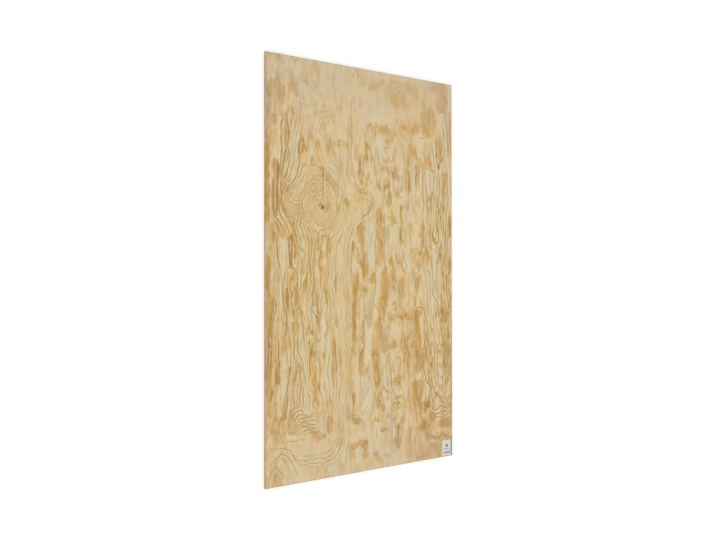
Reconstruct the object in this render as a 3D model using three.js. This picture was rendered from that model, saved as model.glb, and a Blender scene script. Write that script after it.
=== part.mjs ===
// A full size sheet of softwood plywood, lying flat with its better face up and a paper stock label
// on one corner of that face.
//
// Millimetres. +Z is up, the length runs along Y and the width along X. The origin is the middle
// of the underside.

import * as THREE from "three";

// Sheet
const sheetLength = 2440;
const sheetWidth = 1220;
const sheetThickness = 18;
const arris = 0.4; // the sharp corners of the sawn edges, just taken off

// Paper label, stuck on the upper face in the corner at +X and -Y
const labelLength = 102; // along the sheet's length
const labelWidth = 64;
const labelThickness = 0.2;
const labelCornerRadius = 2;
const labelEndGap = 4; // from the label to the sheet's end
const labelSideGap = 12; // from the label to the sheet's side

// Finishes
const pineVeneer = new THREE.MeshStandardMaterial({
  color: 0xceb486,
  roughness: 0.75,
  metalness: 0,
});
const whitePaper = new THREE.MeshStandardMaterial({
  color: 0xe9e4de,
  roughness: 0.6,
  metalness: 0,
});

// Outline of a rectangle centred on the origin, with quarter-circle corners.
function roundedRectangle(width, length, cornerRadius) {
  const x = width / 2;
  const y = length / 2;
  const r = Math.min(cornerRadius, x, y);
  const outline = new THREE.Shape();
  outline.moveTo(-x + r, -y);
  outline.lineTo(x - r, -y);
  outline.absarc(x - r, -y + r, r, -Math.PI / 2, 0, false);
  outline.lineTo(x, y - r);
  outline.absarc(x - r, y - r, r, 0, Math.PI / 2, false);
  outline.lineTo(-x + r, y);
  outline.absarc(-x + r, y - r, r, Math.PI / 2, Math.PI, false);
  outline.lineTo(-x, -y + r);
  outline.absarc(-x + r, -y + r, r, Math.PI, 1.5 * Math.PI, false);
  return outline;
}

// Outline of a square-cornered rectangle centred on the origin.
function rectangle(width, length) {
  const outline = new THREE.Shape();
  outline.moveTo(-width / 2, -length / 2);
  outline.lineTo(width / 2, -length / 2);
  outline.lineTo(width / 2, length / 2);
  outline.lineTo(-width / 2, length / 2);
  outline.closePath();
  return outline;
}

// The sheet is its outline raised to its thickness, with a flat of the arris' width along every
// corner. The bevel stands outside the outline and the depth, so both are drawn smaller by it.
function makeSheet() {
  const flat = Math.min(arris, sheetThickness / 3);
  const geometry = new THREE.ExtrudeGeometry(
    rectangle(sheetWidth - 2 * flat, sheetLength - 2 * flat),
    {
      depth: sheetThickness - 2 * flat,
      steps: 1,
      bevelEnabled: true,
      bevelThickness: flat,
      bevelSize: flat,
      bevelSegments: 1,
    },
  );
  const sheet = new THREE.Mesh(geometry, pineVeneer);
  sheet.name = "plywood_sheet";
  sheet.position.z = flat;
  return sheet;
}

// The label lies face to face on the sheet, square to it.
function makeLabel() {
  const geometry = new THREE.ExtrudeGeometry(
    roundedRectangle(labelWidth, labelLength, labelCornerRadius),
    { depth: labelThickness, steps: 1, bevelEnabled: false, curveSegments: 6 },
  );
  const label = new THREE.Mesh(geometry, whitePaper);
  label.name = "paper_label";
  label.position.set(
    sheetWidth / 2 - labelSideGap - labelWidth / 2,
    -sheetLength / 2 + labelEndGap + labelLength / 2,
    sheetThickness,
  );
  return label;
}

const plywood = new THREE.Group();
plywood.add(makeSheet(), makeLabel());

export default plywood;
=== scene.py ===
"""A sheet of rotary-cut pine plywood lying on its back, with a small paper label in a corner of its face.

Everything is in metres in the frame of the solids, but the figure of the veneers is laid out in millimetres
from the face's lower left corner, as it would be marked on the sheet with a tape.
"""

import math

import bmesh
import bpy
import numpy as np
from mathutils import Matrix, Vector


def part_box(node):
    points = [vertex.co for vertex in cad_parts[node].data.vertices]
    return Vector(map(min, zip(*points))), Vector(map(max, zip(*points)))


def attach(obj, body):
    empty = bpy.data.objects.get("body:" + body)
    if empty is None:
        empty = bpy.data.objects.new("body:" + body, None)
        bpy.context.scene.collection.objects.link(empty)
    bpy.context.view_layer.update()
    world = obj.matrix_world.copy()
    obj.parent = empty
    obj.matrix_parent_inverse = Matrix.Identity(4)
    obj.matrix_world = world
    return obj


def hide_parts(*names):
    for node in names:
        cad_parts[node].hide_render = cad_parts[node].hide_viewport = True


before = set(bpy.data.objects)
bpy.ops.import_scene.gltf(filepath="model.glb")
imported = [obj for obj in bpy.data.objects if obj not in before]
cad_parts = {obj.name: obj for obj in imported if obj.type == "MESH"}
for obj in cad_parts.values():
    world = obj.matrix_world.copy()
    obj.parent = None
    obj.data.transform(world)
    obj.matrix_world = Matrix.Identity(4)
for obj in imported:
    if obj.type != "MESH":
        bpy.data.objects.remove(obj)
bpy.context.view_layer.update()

MM = 0.001

# ---------------------------------------------------------------- the sheet

SHEET_LOW, SHEET_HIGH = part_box("plywood_sheet")
LABEL_LOW, LABEL_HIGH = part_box("paper_label")
SHEET_WIDTH = SHEET_HIGH.x - SHEET_LOW.x
SHEET_LENGTH = SHEET_HIGH.y - SHEET_LOW.y
SHEET_THICKNESS = SHEET_HIGH.z - SHEET_LOW.z
ARRIS = 0.4 * MM
ARRIS_STEPS = 2
RIM_ANGLE = math.radians(45)  # edges of the block sharper than this lose their arris
CELLS_ACROSS = 226
CELLS_ALONG = 400
FACE_MATERIAL, EDGE_MATERIAL, BACK_MATERIAL = 0, 1, 2
SIDE_LIMIT = 0.3  # a face of the mesh whose normal leans less than this out of level belongs to a sawn edge

# Veneer thicknesses from the back to the face, in millimetres. The grain of the first runs along the sheet,
# that of the second across it, and so on by turns.
PLIES = (2.3, 2.8, 2.6, 2.6, 2.6, 2.8, 2.3)

# ---------------------------------------------------------------- the figure of the face

# The stem of the figure, from the near end up: y, then x of its left foot, its crest and its right foot,
# and how many rings high it stands
STEM = (
    (0, 60, 285, 500, 10.0),
    (300, 78, 290, 508, 10.5),
    (400, 98, 290, 510, 11.0),
    (500, 112, 292, 510, 10.5),
    (600, 125, 296, 512, 10.0),
    (700, 122, 300, 515, 10.0),
    (800, 108, 302, 512, 9.6),
    (900, 112, 305, 500, 9.4),
    (1000, 96, 306, 496, 10.0),
    (1150, 92, 308, 492, 9.4),
    (1250, 122, 312, 494, 9.6),
    (1350, 122, 318, 500, 9.8),
    (1430, 112, 325, 512, 10.4),
    (1500, 94, 331, 518, 12.6),
    (1550, 74, 335, 520, 16.0),
    (1592, 66, 336, 520, 19.5),
    (1640, 72, 335, 518, 17.0),
    (1700, 82, 328, 518, 14.8),
    (1800, 90, 312, 522, 12.4),
    (1900, 98, 298, 526, 10.6),
    (2000, 84, 300, 526, 9.0),
    (2100, 84, 296, 524, 8.0),
    (2200, 92, 292, 522, 7.0),
    (2300, 110, 288, 520, 5.6),
    (2440, 140, 286, 516, 4.0),
)

# How far the level rings at the stem's lower end are raised along the sheet at each x
FOLDS = (
    (60, -60), (100, -30), (120, -12), (148, 6), (166, 18), (185, -16), (205, 0), (225, -20), (243, -44),
    (270, -28), (300, -38), (330, -50), (370, -62), (420, -95), (470, -105), (520, -100),
)
FOLD_START = 282
FOLD_STEP = 18.5

# Whorls and lobes on the stem: x, y, reach to the right, up, left and down, height in rings and roundness
WHORLS = (
    (336, 1592, 60, 50, 60, 55, 1.6, 2.0),
    (272, 1692, 46, 92, 46, 50, 2.6, 1.5),
    (385, 1715, 70, 60, 40, 60, 1.2, 1.6),
    (150, 1585, 60, 60, 60, 60, 1.0, 2.0),
)

# The outline that the stem's outer rings keep to on its right, round two blunt lobes, from the top down
OUTLINE = (
    (520, 2600), (514, 2250), (520, 2050), (512, 1900), (518, 1800), (534, 1748), (560, 1712),
    (600, 1694), (640, 1682), (662, 1646), (660, 1600), (636, 1562), (596, 1540), (560, 1512),
    (530, 1474), (506, 1420), (494, 1330), (496, 1200), (506, 1060), (508, 900), (518, 700), (512, 520),
    (504, 400), (508, 352), (545, 340), (588, 318), (608, 284), (598, 250), (560, 232), (520, 226),
    (500, 215), (500, -100),
)
OUTLINE_RINGS = 3.0
OUTLINE_REACH = 38

# Soft patches of the right half, tan where they rise and pale where they sink: x, y, half width, half
# length and rise in rings
SOFT_RIGHT = (
    (1030, 2385, 24, 60, -0.24), (1070, 2325, 40, 34, -0.2), (940, 2365, 44, 36, 0.22),
    (680, 2410, 50, 30, -0.16), (600, 2300, 24, 26, -0.16), (640, 2230, 90, 60, -0.1),
    (580, 2170, 40, 60, -0.1), (790, 2090, 140, 42, 0.2), (870, 2070, 90, 34, 0.12),
    (742, 2030, 30, 50, 0.24), (1145, 2200, 22, 56, -0.3), (1186, 2080, 9, 140, -0.3),
    (1208, 2130, 14, 110, 0.3), (960, 2030, 30, 36, -0.16), (635, 1965, 14, 40, -0.18),
    (1040, 1960, 30, 60, 0.14), (1062, 1900, 13, 50, 0.4), (935, 1970, 26, 42, 0.32),
    (860, 1992, 42, 28, -0.18), (810, 1970, 28, 28, -0.2), (720, 1880, 14, 46, 0.3),
    (830, 1888, 40, 40, -0.12), (610, 1820, 20, 26, -0.24), (682, 1872, 36, 20, -0.24),
    (862, 1850, 18, 60, -0.14), (835, 1770, 25, 32, -0.2), (900, 1850, 9, 110, 0.28),
    (930, 1880, 14, 60, -0.18), (935, 1740, 15, 80, -0.28), (1120, 1800, 9, 80, 0.36),
    (1150, 1860, 9, 80, 0.34), (1176, 1800, 8, 90, 0.3), (745, 1690, 20, 30, -0.2),
    (1008, 1740, 7, 90, 0.34), (712, 1470, 22, 60, 0.26), (760, 1570, 12, 30, 0.2),
    (855, 1560, 14, 50, 0.24), (835, 1530, 16, 30, -0.22), (845, 1430, 6, 80, 0.26),
    (872, 1460, 7, 60, 0.22), (860, 1388, 14, 14, -0.2), (900, 1400, 10, 40, -0.14),
    (645, 1370, 32, 135, -0.27), (550, 1290, 24, 52, -0.24), (745, 1290, 13, 42, -0.26),
    (835, 1290, 14, 12, 0.22), (885, 1240, 42, 30, -0.28), (860, 1335, 50, 30, -0.12),
    (940, 1320, 24, 36, 0.36), (990, 1290, 42, 60, 0.26), (960, 1240, 20, 30, 0.3),
    (1062, 1400, 12, 42, 0.32), (1055, 1260, 14, 50, 0.34), (1085, 1430, 16, 22, 0.4),
    (1130, 1450, 30, 40, -0.2), (1130, 1560, 8, 80, 0.38), (1155, 1500, 6, 60, 0.34),
    (1185, 1390, 8, 60, 0.34), (1120, 1330, 9, 40, 0.42), (1175, 1290, 8, 60, 0.34),
    (1075, 1530, 10, 60, -0.24), (1145, 1540, 6, 60, -0.24), (1175, 1560, 7, 60, -0.24),
    (585, 1110, 26, 14, 0.36), (570, 1085, 12, 30, 0.28), (655, 1118, 20, 26, -0.24),
    (715, 980, 20, 50, 0.4), (800, 1120, 10, 40, 0.34), (825, 1170, 14, 40, -0.2),
    (960, 1130, 14, 50, 0.32), (1000, 1040, 50, 60, -0.16), (1181, 1130, 7, 60, 0.4),
    (620, 990, 30, 62, -0.16), (560, 960, 6, 60, 0.24), (765, 935, 12, 30, 0.38),
    (790, 1002, 50, 24, -0.18), (890, 942, 46, 25, 0.26), (1105, 930, 8, 40, 0.34),
    (590, 860, 8, 60, 0.3), (680, 600, 20, 60, 0.4), (690, 520, 18, 60, 0.32), (620, 540, 30, 100, -0.16),
    (600, 470, 50, 90, -0.16), (580, 770, 12, 60, 0.4), (545, 760, 14, 40, -0.14),
    (520, 720, 10, 90, 0.34), (525, 640, 12, 30, -0.22), (765, 760, 44, 40, 0.16),
    (840, 730, 60, 30, 0.12), (740, 640, 30, 40, -0.2), (820, 655, 40, 42, -0.2),
    (890, 740, 42, 40, 0.26), (920, 640, 12, 60, -0.18), (1000, 660, 14, 50, 0.32),
    (1172, 680, 20, 60, 0.4), (1075, 700, 14, 100, -0.2), (1120, 690, 16, 50, -0.18),
    (820, 525, 27, 20, 0.42), (750, 480, 32, 12, 0.2), (702, 380, 26, 30, 0.42), (830, 415, 18, 20, 0.38),
    (830, 376, 30, 12, 0.3), (860, 490, 40, 40, -0.22), (750, 420, 35, 40, -0.2),
    (1030, 372, 14, 14, -0.2), (1070, 270, 20, 30, 0.28), (990, 222, 40, 30, 0.34),
    (1030, 40, 20, 20, 0.24), (830, 170, 18, 70, 0.28), (905, 150, 18, 100, 0.28),
    (870, 190, 18, 60, -0.14), (950, 160, 24, 62, -0.18), (740, 232, 20, 16, 0.44),
    (680, 80, 30, 30, 0.26), (560, 166, 50, 20, 0.26), (596, 120, 14, 60, 0.22), (560, 90, 24, 42, -0.2),
    (685, 292, 14, 32, 0.24),
)

# Streaks with one sharp side: x, y, half width, half length, depth and that side (1 right, -1 left)
SHARP_RIGHT = (
    (1117, 1925, 12, 56, 0.5, -1), (965, 920, 24, 72, 0.5, -1), (968, 640, 28, 74, 0.5, -1),
)

# More soft patches, most of them in the left half
SOFT_LEFT = (
    (118, 2408, 16, 24, -0.2), (86, 2220, 12, 50, 0.34), (106, 2210, 10, 50, 0.2),
    (150, 2205, 25, 32, -0.26), (56, 2140, 10, 60, 0.3), (75, 1960, 25, 80, -0.08),
    (212, 1866, 25, 20, -0.24), (282, 1882, 42, 24, -0.2), (308, 1935, 14, 50, 0.26),
    (340, 2040, 22, 22, 0.22), (511, 2190, 8, 80, 0.06), (470, 2330, 42, 80, -0.18),
    (216, 2352, 12, 50, 0.24), (240, 2300, 10, 40, 0.18), (402, 1735, 32, 14, 0.26),
    (380, 1690, 20, 30, -0.2), (18, 1385, 14, 60, -0.2), (180, 1270, 18, 42, -0.26),
    (60, 1180, 28, 62, -0.16), (210, 1230, 18, 30, 0.32), (370, 1230, 18, 50, -0.18),
    (230, 1068, 16, 62, -0.24), (286, 1150, 12, 72, 0.32), (315, 1060, 15, 42, -0.24),
    (75, 960, 28, 62, -0.1), (121, 985, 9, 60, 0.26), (115, 870, 12, 50, 0.3), (235, 960, 20, 80, -0.18),
    (490, 1100, 13, 400, -0.1), (165, 540, 18, 60, -0.18), (330, 620, 14, 42, 0.32),
    (405, 760, 14, 42, 0.34), (410, 680, 18, 60, 0.32), (115, 442, 12, 42, 0.34),
    (378, 437, 14, 20, 0.44), (345, 440, 14, 22, -0.24), (345, 320, 15, 50, -0.26),
    (60, 92, 14, 22, 0.24), (70, 48, 30, 20, 0.18), (526, 430, 8, 90, 0.34), (556, 330, 24, 12, 0.36),
    (632, 1370, 26, 120, -0.12), (686, 1695, 16, 50, 0.16),
)

# Places that lean to mustard (above nought) or to pink: x, y, half width, half length and how much
HUES = (
    (308, 1935, 18, 52, 0.9), (340, 2040, 26, 26, 0.9), (511, 2190, 12, 84, 0.4),
    (285, 640, 26, 110, 0.6), (378, 437, 18, 24, 1.0), (440, 1400, 60, 60, 0.1), (590, 1630, 60, 50, 0.3),
    (630, 1370, 34, 130, -0.9), (18, 1690, 12, 160, 0.9), (610, 1950, 14, 84, 0.7),
    (790, 1920, 66, 24, 0.5), (935, 1560, 42, 42, 0.4), (915, 1460, 18, 62, 1.0),
    (845, 1460, 16, 80, 0.6), (600, 1220, 22, 36, 0.7), (965, 900, 26, 60, 0.7), (800, 650, 50, 50, 0.4),
    (685, 310, 26, 34, 0.6), (850, 400, 40, 40, 0.4), (560, 480, 60, 90, 0.3), (160, 1560, 50, 50, -0.7),
    (350, 2290, 60, 70, -0.5), (470, 2330, 44, 84, -0.3), (580, 2180, 50, 80, -0.6),
    (640, 1900, 50, 24, -0.8), (820, 1970, 36, 30, -0.6), (850, 2140, 50, 40, -0.5),
    (1030, 2400, 26, 50, -0.6), (935, 1740, 18, 80, -0.7), (1035, 1405, 18, 40, -1.3),
    (960, 1390, 16, 30, -0.9), (860, 1335, 56, 30, -0.6), (700, 1160, 16, 50, -0.6),
    (765, 1200, 18, 60, -0.6), (825, 1170, 16, 44, -0.8), (620, 1000, 32, 60, -0.6),
    (765, 680, 20, 60, -0.6), (760, 520, 50, 50, -0.5), (1110, 360, 60, 24, -0.6),
    (1110, 170, 50, 22, -0.8), (260, 190, 90, 40, -0.6), (310, 1060, 16, 46, -0.9),
    (165, 560, 22, 70, -0.5), (345, 440, 18, 24, -1.1), (410, 450, 20, 40, -0.8),
    (110, 680, 22, 100, -0.5), (60, 1170, 30, 60, -0.6), (300, 60, 120, 30, -0.5),
    (720, 130, 70, 60, -0.4), (235, 1440, 24, 60, -0.6), (330, 1440, 22, 50, -0.6),
    (480, 1100, 20, 300, -0.3), (210, 2120, 40, 60, -0.2), (100, 2300, 90, 90, -0.2),
)

# Ring lines that stand out: how dark each is, and the points it runs through
LINES = (
    # round the knot, from its left side over the top to its right
    (0.6, (100, 1650), (112, 1690), (128, 1730), (142, 1760), (155, 1800), (165, 1860), (171, 1905),
     (178, 1950)),
    (0.8, (110, 1640), (130, 1690), (160, 1720), (180, 1760), (190, 1800), (200, 1840), (205, 1880)),
    (0.6, (122, 1640), (140, 1680), (168, 1704), (188, 1735), (203, 1770), (214, 1805), (226, 1835)),
    (0.7, (95, 1700), (110, 1735), (124, 1768), (134, 1810), (142, 1860), (150, 1905)),
    (0.6, (150, 1665), (168, 1690), (190, 1700), (203, 1720), (216, 1750), (226, 1780)),
    (0.6, (128, 1632), (150, 1628), (172, 1618), (196, 1612), (216, 1600)),
    (0.7, (134, 1606), (152, 1603), (176, 1596), (200, 1588), (220, 1574)),
    (0.6, (132, 1586), (150, 1584), (172, 1576), (192, 1566)),
    (0.7, (88, 1620), (94, 1590), (104, 1560), (112, 1540), (128, 1520), (150, 1516), (164, 1528)),
    (0.6, (98, 1620), (106, 1590), (114, 1566), (126, 1548), (146, 1536)),
    (0.8, (78, 1600), (82, 1560), (90, 1530), (102, 1504), (118, 1486), (128, 1474)),
    (0.6, (166, 1560), (168, 1520), (166, 1484)),
    (0.6, (184, 1566), (187, 1520), (184, 1480), (190, 1440), (188, 1404)),
    (0.6, (202, 1560), (206, 1520), (203, 1484), (212, 1440), (208, 1404)),
    (0.5, (220, 1580), (222, 1540), (219, 1500)),
    (0.5, (184, 1640), (200, 1652), (206, 1668), (203, 1680)),
    (0.5, (234, 1640), (228, 1668), (234, 1700), (244, 1724), (262, 1738), (285, 1740), (298, 1728)),
    (0.6, (262, 1700), (264, 1680), (272, 1668), (282, 1676), (285, 1698), (280, 1714), (270, 1716),
     (262, 1700)),
    (0.5, (246, 1692), (250, 1660), (268, 1644), (290, 1648), (300, 1672), (298, 1704), (282, 1726),
     (262, 1724)),
    (0.5, (243, 1752), (254, 1764), (275, 1769), (290, 1756), (303, 1740), (311, 1716)),
    (0.4, (262, 1640), (290, 1634), (312, 1628)),
    (0.6, (272, 1612), (288, 1624), (306, 1622)),
    (0.7, (292, 1606), (286, 1590), (290, 1572), (302, 1562)),
    (0.5, (316, 1610), (309, 1592), (312, 1576)),
    (0.5, (236, 1576), (240, 1550), (252, 1532), (270, 1522)),
    (0.4, (254, 1572), (260, 1552), (276, 1538), (296, 1530)),
    (0.7, (352, 1614), (366, 1613), (374, 1600), (368, 1587), (354, 1584)),
    (0.6, (352, 1630), (374, 1626), (388, 1608), (386, 1588), (372, 1572)),
    (0.6, (361, 1732), (375, 1727), (397, 1705), (411, 1682), (420, 1655), (424, 1632)),
    (0.55, (352, 1809), (370, 1800), (388, 1777), (402, 1759), (420, 1727), (429, 1700), (431, 1677),
     (427, 1655), (421, 1632), (419, 1605), (423, 1586), (427, 1573), (421, 1548), (417, 1525)),
    (0.5, (384, 1755), (406, 1741), (434, 1718), (447, 1700), (454, 1677), (453, 1632), (446, 1600),
     (437, 1570)),
    (0.5, (466, 1690), (464, 1640), (466, 1590), (460, 1545)),
    (0.5, (475, 1636), (486, 1622), (496, 1600), (492, 1588)),
    (0.6, (368, 1523), (392, 1520), (416, 1526)),
    (0.7, (368, 1502), (392, 1501), (416, 1506)),
    (0.7, (345, 1470), (370, 1465), (393, 1475), (418, 1478)),
    (0.6, (425, 1905), (430, 1886), (443, 1873), (458, 1875), (466, 1896)),
    (0.5, (425, 1868), (427, 1830), (424, 1790)),
    (0.5, (437, 1868), (440, 1830), (437, 1788)),
    (0.5, (450, 1866), (451, 1830), (449, 1788)),
    (0.5, (462, 1864), (463, 1830), (460, 1788)),
    (0.9, (337, 1822), (340, 1760), (338, 1700), (336, 1620)),
    # the lobe on the right of the knot
    (0.7, (536, 1780), (544, 1742), (552, 1712), (562, 1692), (576, 1684), (596, 1681), (612, 1684),
     (624, 1692), (636, 1695), (646, 1686), (655, 1666), (661, 1640), (664, 1610), (661, 1575),
     (654, 1545), (645, 1518)),
    (0.4, (520, 1770), (530, 1728), (541, 1698), (550, 1680)),
    (0.75, (566, 1644), (584, 1648), (606, 1651), (626, 1646), (640, 1634), (647, 1616), (644, 1596),
     (634, 1578), (620, 1560), (604, 1548), (588, 1540), (574, 1526), (558, 1508)),
    (0.42, (560, 1666), (590, 1668), (618, 1668), (636, 1664), (648, 1648)),
    (0.42, (580, 1634), (602, 1636), (618, 1628), (626, 1612), (621, 1594), (604, 1580), (580, 1572)),
    (0.7, (612, 1530), (598, 1520), (582, 1505), (566, 1488), (556, 1468), (552, 1440), (550, 1404)),
    (0.7, (513, 1498), (521, 1473), (516, 1441), (506, 1412), (500, 1380)),
    (0.5, (496, 1490), (504, 1466), (496, 1440)),
    (0.6, (597, 1497), (606, 1468), (602, 1430)),
    # the folds at the foot of the stem
    (0.6, (137, 306), (142, 354), (150, 396), (162, 428), (178, 430), (196, 448)),
    (0.7, (155, 350), (160, 385), (172, 403), (195, 414), (214, 411), (226, 393), (242, 377), (258, 375),
     (274, 385), (295, 388), (318, 380)),
    (0.65, (166, 338), (171, 364), (182, 381), (200, 390), (216, 385), (230, 370), (253, 364),
     (276, 370), (300, 370)),
    (0.7, (171, 312), (179, 338), (188, 357), (205, 366), (221, 358), (242, 347), (263, 346), (290, 350),
     (318, 346)),
    (0.65, (172, 290), (184, 316), (201, 335), (221, 341), (242, 334), (263, 324), (282, 324),
     (310, 328), (326, 320)),
    (0.7, (190, 284), (203, 308), (219, 322), (239, 320), (258, 308), (280, 304), (306, 306), (328, 298)),
    (0.65, (208, 272), (222, 294), (240, 302), (262, 292), (284, 286), (312, 288), (330, 280)),
    (0.6, (226, 254), (237, 275), (253, 282), (274, 278), (298, 276), (328, 268), (350, 262)),
    (0.5, (242, 238), (252, 254), (264, 266), (284, 262), (300, 256)),
    (0.42, (58, 330), (54, 290), (56, 255), (70, 228)),
    (0.6, (78, 312), (71, 286), (73, 262), (86, 244), (106, 232)),
    (0.55, (94, 308), (87, 284), (91, 264), (106, 250), (130, 244), (170, 248), (206, 250), (226, 240)),
    (0.45, (110, 304), (103, 284), (109, 268), (127, 258), (150, 262)),
    (0.5, (463, 440), (465, 390), (466, 350), (480, 326), (502, 306), (530, 293), (556, 286), (574, 272),
     (576, 252)),
    (0.6, (478, 440), (482, 390), (484, 350), (500, 328), (530, 314), (552, 303), (576, 292), (592, 272),
     (594, 248), (584, 232)),
    (0.6, (494, 440), (497, 390), (499, 356), (516, 338), (542, 324), (566, 316), (586, 304), (604, 288),
     (608, 262)),
    (0.45, (509, 410), (512, 368), (530, 351), (556, 341), (578, 330)),
    # the foot
    (0.5, (431, 440), (430, 340), (428, 270), (420, 222), (404, 186), (384, 160), (362, 150), (338, 144),
     (300, 142), (262, 143), (228, 147), (200, 152)),
    (0.55, (447, 440), (446, 340), (444, 270), (438, 216), (424, 176), (402, 142), (380, 124),
     (356, 117), (330, 122), (290, 125), (240, 121), (202, 127), (184, 138), (172, 160)),
    (0.6, (462, 330), (458, 270), (454, 216), (444, 172), (428, 136), (404, 110), (370, 98), (330, 96),
     (280, 102), (232, 101), (204, 104), (190, 112), (178, 130), (166, 152), (150, 182), (134, 200),
     (112, 211), (70, 214), (28, 216)),
    (0.4, (476, 300), (472, 230), (464, 170), (452, 120), (430, 90), (390, 76), (330, 74), (260, 80),
     (214, 78), (198, 90)),
    (0.65, (16, 116), (42, 145), (68, 163), (94, 182), (118, 168), (144, 142), (160, 110), (176, 70),
     (192, 34)),
    (0.4, (14, 92), (40, 122), (66, 142), (92, 158), (112, 144), (132, 118), (146, 80), (156, 40)),
    (0.6, (18, 56), (36, 94), (54, 118), (70, 98), (90, 80), (104, 52), (112, 20)),
    (0.42, (34, 40), (52, 80), (68, 60), (84, 30)),
    (0.6, (492, 198), (489, 160), (482, 138), (480, 100), (476, 60)),
    (0.5, (505, 198), (508, 154), (511, 90), (506, 40)),
    # strips down the left edge
    (0.9, (44, 1530), (60, 1517), (76, 1500), (90, 1474), (104, 1448), (118, 1424), (130, 1400)),
    (0.7, (72, 1836), (70, 1760), (68, 1700), (70, 1600), (64, 1530)),
    (0.8, (104, 2096), (94, 2050), (90, 2000), (92, 1955), (97, 1905), (92, 1850), (86, 1790),
     (84, 1740)),
    (0.7, (124, 2090), (134, 2030), (134, 1975), (124, 1910), (112, 1870), (104, 1800), (98, 1740)),
    (1.0, (68, 1410), (71, 1340), (72, 1300), (80, 1260), (86, 1220), (94, 1180), (99, 1140),
     (101, 1080), (103, 1040), (112, 1000), (122, 960), (125, 900), (120, 850)),
    (0.8, (134, 1400), (138, 1300), (141, 1260), (147, 1225), (158, 1206)),
    (0.7, (156, 1400), (151, 1300), (155, 1255), (165, 1218), (180, 1204)),
    (0.6, (188, 1396), (206, 1356), (224, 1328), (248, 1300)),
    (0.6, (180, 1380), (204, 1336), (232, 1302)),
    (0.7, (214, 1300), (212, 1250), (207, 1200), (204, 1150), (206, 1100)),
    (0.7, (256, 1300), (259, 1250), (262, 1210), (268, 1150)),
    (0.7, (275, 1112), (271, 1060), (270, 1020), (276, 984), (290, 957), (303, 940), (306, 900)),
    (0.6, (262, 1020), (268, 960), (273, 900), (282, 850)),
    (0.7, (190, 1208), (184, 1150), (186, 1100)),
    (0.7, (208, 985), (210, 940), (216, 900), (222, 850), (222, 780)),
    (0.5, (100, 1000), (96, 950), (104, 900)),
    (0.8, (60, 1060), (66, 1030), (62, 990), (52, 955), (44, 925)),
    (0.9, (22, 850), (22, 800), (20, 740), (14, 680)),
    (0.7, (76, 850), (78, 800), (74, 750), (80, 700), (82, 640), (82, 590), (76, 560)),
    (0.7, (146, 740), (144, 700), (141, 660), (138, 600), (126, 556), (124, 520), (128, 480), (122, 440),
     (114, 400), (96, 372)),
    (0.8, (166, 850), (167, 800), (166, 740), (172, 690)),
    (0.8, (184, 850), (185, 800), (184, 762), (196, 730), (210, 710), (217, 690), (222, 640), (228, 600),
     (232, 560)),
    (0.7, (200, 660), (201, 600), (202, 540), (200, 480), (196, 440)),
    (0.7, (220, 560), (222, 500), (218, 450), (228, 425)),
    (0.6, (286, 850), (292, 800), (294, 740), (290, 680), (298, 640), (310, 620)),
    (0.6, (320, 760), (316, 700), (320, 640), (326, 590)),
    (0.6, (262, 590), (274, 560), (288, 536), (306, 520)),
    # the right side, from the top down
    (1.0, (1068, 2048), (1078, 1990), (1085, 1940), (1091, 1890), (1096, 1845)),
    (0.7, (1100, 2092), (1100, 2030), (1101, 1950)),
    (0.8, (1158, 2160), (1161, 2100), (1165, 2020), (1166, 1950)),
    (0.8, (1165, 2250), (1176, 2190), (1186, 2110), (1192, 2040), (1196, 1970)),
    (0.5, (958, 2068), (985, 2062), (1010, 2066), (1040, 2080), (1062, 2092)),
    (0.42, (998, 1995), (1004, 1965), (1018, 1945), (1034, 1940)),
    (0.42, (990, 1878), (1010, 1870), (1040, 1864), (1060, 1880), (1066, 1905)),
    (0.7, (1108, 1938), (1114, 1900), (1121, 1868), (1128, 1900), (1133, 1938)),
    (0.7, (1168, 1950), (1175, 1900), (1184, 1850), (1190, 1750), (1192, 1660), (1182, 1600),
     (1175, 1520), (1172, 1460), (1168, 1400), (1171, 1340), (1165, 1290), (1160, 1240)),
    (0.7, (952, 1840), (950, 1780), (955, 1730)),
    (0.7, (1005, 1850), (1002, 1760), (1005, 1700), (1010, 1640)),
    (0.5, (962, 1700), (960, 1650), (963, 1600)),
    (0.7, (1036, 1700), (1034, 1640), (1040, 1590), (1046, 1562)),
    (0.6, (1056, 1690), (1058, 1640), (1052, 1590)),
    (0.6, (1070, 1722), (1068, 1660), (1072, 1620), (1064, 1570), (1066, 1530)),
    (0.7, (1132, 1745), (1122, 1700), (1116, 1650), (1124, 1600), (1118, 1550)),
    (0.6, (1108, 1720), (1104, 1670), (1108, 1630)),
    (0.6, (1138, 1600), (1136, 1550), (1142, 1500), (1138, 1450)),
    (0.6, (1156, 1600), (1158, 1550), (1155, 1500), (1160, 1430)),
    (0.7, (1076, 1500), (1080, 1470), (1074, 1440), (1090, 1410)),
    (0.6, (1105, 1372), (1102, 1340), (1105, 1305)),
    (0.6, (1120, 1372), (1131, 1335), (1124, 1305)),
    (0.6, (1148, 1320), (1156, 1270), (1150, 1220), (1155, 1180)),
    (0.9, (1072, 1215), (1071, 1150), (1073, 1100), (1076, 1052), (1095, 1030), (1110, 1010),
     (1118, 980), (1122, 950), (1126, 900)),
    (0.6, (1100, 1200), (1104, 1130), (1110, 1080), (1108, 1040)),
    (0.7, (1156, 1230), (1160, 1150), (1163, 1060), (1166, 1000), (1176, 960), (1190, 930)),
    (0.7, (1174, 1210), (1176, 1150), (1180, 1090), (1188, 1040), (1192, 980)),
    (0.6, (955, 1112), (950, 1080), (952, 1050)),
    (0.75, (950, 925), (950, 964), (964, 984), (985, 978), (1004, 980), (1014, 955), (1022, 920),
     (1032, 885), (1036, 840), (1032, 800), (1040, 750), (1050, 700), (1056, 650)),
    (0.8, (979, 800), (984, 745), (994, 712), (1003, 701), (1012, 722), (1017, 765), (1016, 800)),
    (0.6, (1095, 950), (1094, 920), (1098, 898)),
    (0.6, (1104, 950), (1106, 920), (1103, 898)),
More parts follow.
